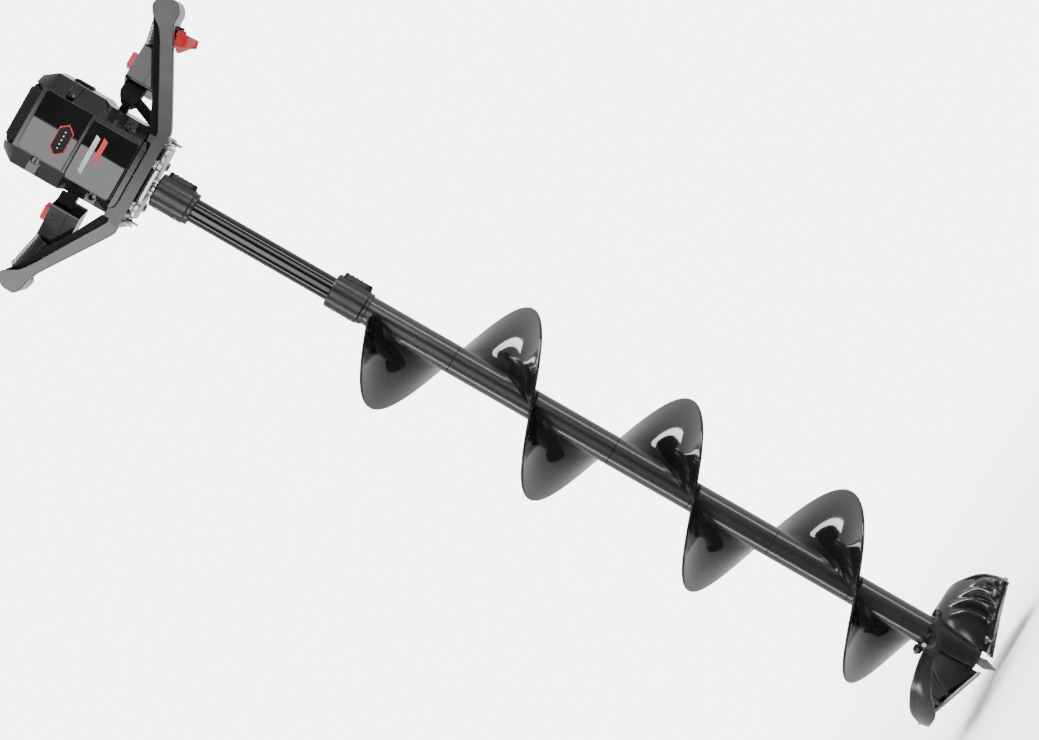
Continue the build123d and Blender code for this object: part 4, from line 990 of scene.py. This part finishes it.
def grip_line(side, distance):
    """Point on a grip's axis past the switch box's outer wall, with the axis direction."""
    level = Vector((side * math.cos(GRIP_SWEEP), math.sin(GRIP_SWEEP), 0))
    place = GRIP[side]
    box = (place["outer"] - place["inner"]) / math.cos(GRIP_SWEEP)
    axis = level * math.cos(GRIP_SLOPE) + Vector((0, 0, math.sin(GRIP_SLOPE)))
    start = Vector((side * place["inner"], place["y"], GRIP_HEIGHT)) + level * box
    return start + axis * distance, axis, level


def make_grip(side, name):
    """Rubber sleeve with a raised collar at each end and fine rings between them."""
    place = GRIP[side]
    reach = (place["lobe"] - place["outer"]) / math.cos(GRIP_SWEEP) / math.cos(GRIP_SLOPE)
    start, axis, _ = grip_line(side, 4.5)
    length = reach - 7
    across = axis.cross(Vector((0, 0, 1))).normalized()
    other = across.cross(axis)
    outer = [(0.0, 14.6), (0.8, 16.2), (4.2, 16.2), (4.8, 15.5)]
    pitch = 4.2
    count = int((length - 10) / pitch)
    for ring in range(count):
        base = 5.0 + pitch * ring
        outer += [(base, 15.3), (base + 0.5, 15.9), (base + 2.9, 15.9), (base + 3.4, 15.3)]
    outer += [(length - 4.4, 15.5), (length - 3.8, 16.2), (length - 0.8, 16.2), (length, 14.6)]
    profile = [(0.0, 11.2)] + outer + [(length, 11.2)]
    work = bmesh.new()
    rings = []
    for step in range(GRIP_SIDES):
        angle = 2 * math.pi * step / GRIP_SIDES
        way = across * math.cos(angle) + other * math.sin(angle)
        rings.append([work.verts.new((start + axis * along + way * radius) * MM)
                      for along, radius in profile])
    join_rings(work, rings)
    new_piece(f"{name}_rubber", work, "powerhead", "grip", [name], 40)


TRIGGER_DISTANCE = 78.0     # from the right box's inner wall, along the grip
HANG_FROM = 18              # below this the blade hangs upright, not square to the grip
BLADE_TIP = 42
BLADE_ROOT = 22


def make_trigger():
    """Finger trigger: a red blade, wide at its root, and its neck on the pin."""
    at_box, axis, level = grip_line(1, 0)
    box = (GRIP[1]["outer"] - GRIP[1]["inner"]) / math.cos(GRIP_SWEEP)
    middle = at_box + axis * (TRIGGER_DISTANCE - box)
    forward = level.cross(Vector((0, 0, 1))).normalized()
    down = axis.cross(forward).normalized()

    def place_blade(u, v, end):
        share = ease((BLADE_TIP - v) / BLADE_ROOT)
        across = 3.5 - 1.0 * share if end else -5.5 - 10.5 * share
        hang = down * min(v, HANG_FROM) + Vector((0, 0, -max(v - HANG_FROM, 0)))
        return (middle + forward * u + hang + axis * across) * MM

    def square_to_grip(near, far):
        return lambda u, v, end: (middle + forward * u + down * v
                                  + axis * (near if end else far)) * MM

    work = bmesh.new()
    face = [(-20.0, 21.0), (-19.5, 24.5), (-12.0, 31.0), (-6.0, 37.0), (-1.5, 42.5),
            (2.2, 44.0), (5.5, 42.0), (4.9, 36.0), (4.8, 30.0), (5.8, 24.5), (8.6, 19.0),
            (8.4, 15.6), (-1.0, 16.9), (-8.0, 19.0)]
    prism(work, rounded(face, 1, 0.2), place_blade)
    neck = [(-7.0, 16.9), (4.0, 16.9), (5.0, 26.0), (-8.0, 26.0)]
    prism(work, neck, square_to_grip(4.4, -4.4))
    piece = new_piece("trigger_blade", work, "trigger", "red", ["trigger"], 30)
    slot = bmesh.new()
    lug_room = [(-11.5, 5.0), (3.5, 5.0), (3.5, 24.2), (-11.5, 24.2)]
    prism(slot, lug_room, square_to_grip(-4.7, -7.7))
    cut_out(piece, slot)
    edge_rounded(piece, 0.0008, 35)
    # Painted shade: the trigger's lugs take the darker, matt painted-shade material.
    dress(frame["nodes"]["trigger_lugs"], "joint")


# ---------------------------------------------------------------- powerhead details
def make_front_details():
    """Glossy front plate, the housing's foot, a plain badge, two plain stripes, a bay rail."""
    def on_front(near, far):
        return lambda u, v, end: Vector((u, near if end else far, v)) * MM

    work = bmesh.new()
    upper = [(-33.4, 1218.2), (41.4, 1218.2), (41.4, 1274.5), (38.0, 1277.6), (-30.0, 1277.6),
             (-33.4, 1274.5)]
    prism(work, upper, on_front(-59.0, -60.9))
    plate = new_piece("front_plate", work, "powerhead", "panel", [], 30)
    edge_rounded(plate, 0.0007, 35)
    keep_flat(plate)

    work = bmesh.new()
    foot = [(-42.5, 1153.6), (43.5, 1153.6), (43.5, 1149.0), (36.0, 1145.6), (-35.0, 1145.6),
            (-42.5, 1149.0)]
    prism(work, foot, on_front(-40.0, -56.5))
    edge_rounded(new_piece("housing_foot", work, "powerhead", "housing", [], 30), 0.0008, 35)

    work = bmesh.new()
    middle_x, middle_z = -2, 1235.3
    badge = [(-22.0, 1235.3), (-15.0, 1226.0), (11.0, 1226.0), (18.0, 1235.3), (11.0, 1244.6),
             (-15.0, 1244.6)]
    prism(work, badge, on_front(-60.5, -61.5))
    edge_rounded(new_piece("badge_rim", work, "powerhead", "red", [], 30), 0.0003, 35)
    work = bmesh.new()
    inner = [(middle_x + (x - middle_x) * 0.91, middle_z + (z - middle_z) * 0.88)
             for x, z in badge]
    prism(work, inner, on_front(-61.0, -61.8))
    edge_rounded(new_piece("badge_face", work, "powerhead", "cap", [], 30), 0.0002, 35)

    work = bmesh.new()
    for x in (-12.0, -7.0, -2.0, 3.0, 8.0):
        rod(work, (x, -61.4, middle_z), (0, -1, 0), 0.9, 0.7, 24)
    new_piece("badge_studs", work, "powerhead", "steel", [], 30)

    lean, height = 3.0, 6.0
    for name, slot, left, bottom, length in (("pale_stripe", "aluminium", -25.0, 1197.0, 46.0),
                                             ("red_stripe", "red", -6.0, 1187.5, 28.0)):
        work = bmesh.new()
        right, top = left + length, bottom + height
        stripe = [(left, bottom), (right, bottom), (right + lean, top), (left + lean, top)]
        prism(work, stripe, on_front(-62.2, -63.0))
        edge_rounded(new_piece(name, work, "powerhead", slot, [], 30), 0.0002, 35)

    work = bmesh.new()
    rail = [(38.3, 1276.0), (42.5, 1276.0), (42.5, 1287.0), (40.0, 1288.5), (38.3, 1288.5)]
    prism(work, rail, on_front(54.0, -52.0))
    edge_rounded(new_piece("bay_rail", work, "powerhead", "housing", [], 30), 0.0004, 35)


def make_cap_shoulders():
    """Ledges that carry the cap's tapered sides out to the housing's bumpers."""
    def full_depth(u, v, end):
        return Vector((u, 53.0 if end else -53.5, v)) * MM

    work = bmesh.new()
    left = [(-33.4, 1283.0), (-33.4, 1291.4), (-30.6, 1293.8), (-28.0, 1293.8), (-31.8, 1283.0)]
    prism(work, left, full_depth)
    right = [(35.6, 1283.0), (37.8, 1283.0), (37.8, 1289.2), (41.4, 1289.2), (41.4, 1291.6),
             (38.0, 1293.8), (34.6, 1293.8)]
    prism(work, right, full_depth)
    edge_rounded(new_piece("cap_shoulders", work, "battery", "cap", [], 30), 0.0005, 35)


make_base_plate()
make_cap_shoulders()
make_grip(-1, "left_grip")
make_grip(1, "right_grip")
make_trigger()
make_front_details()
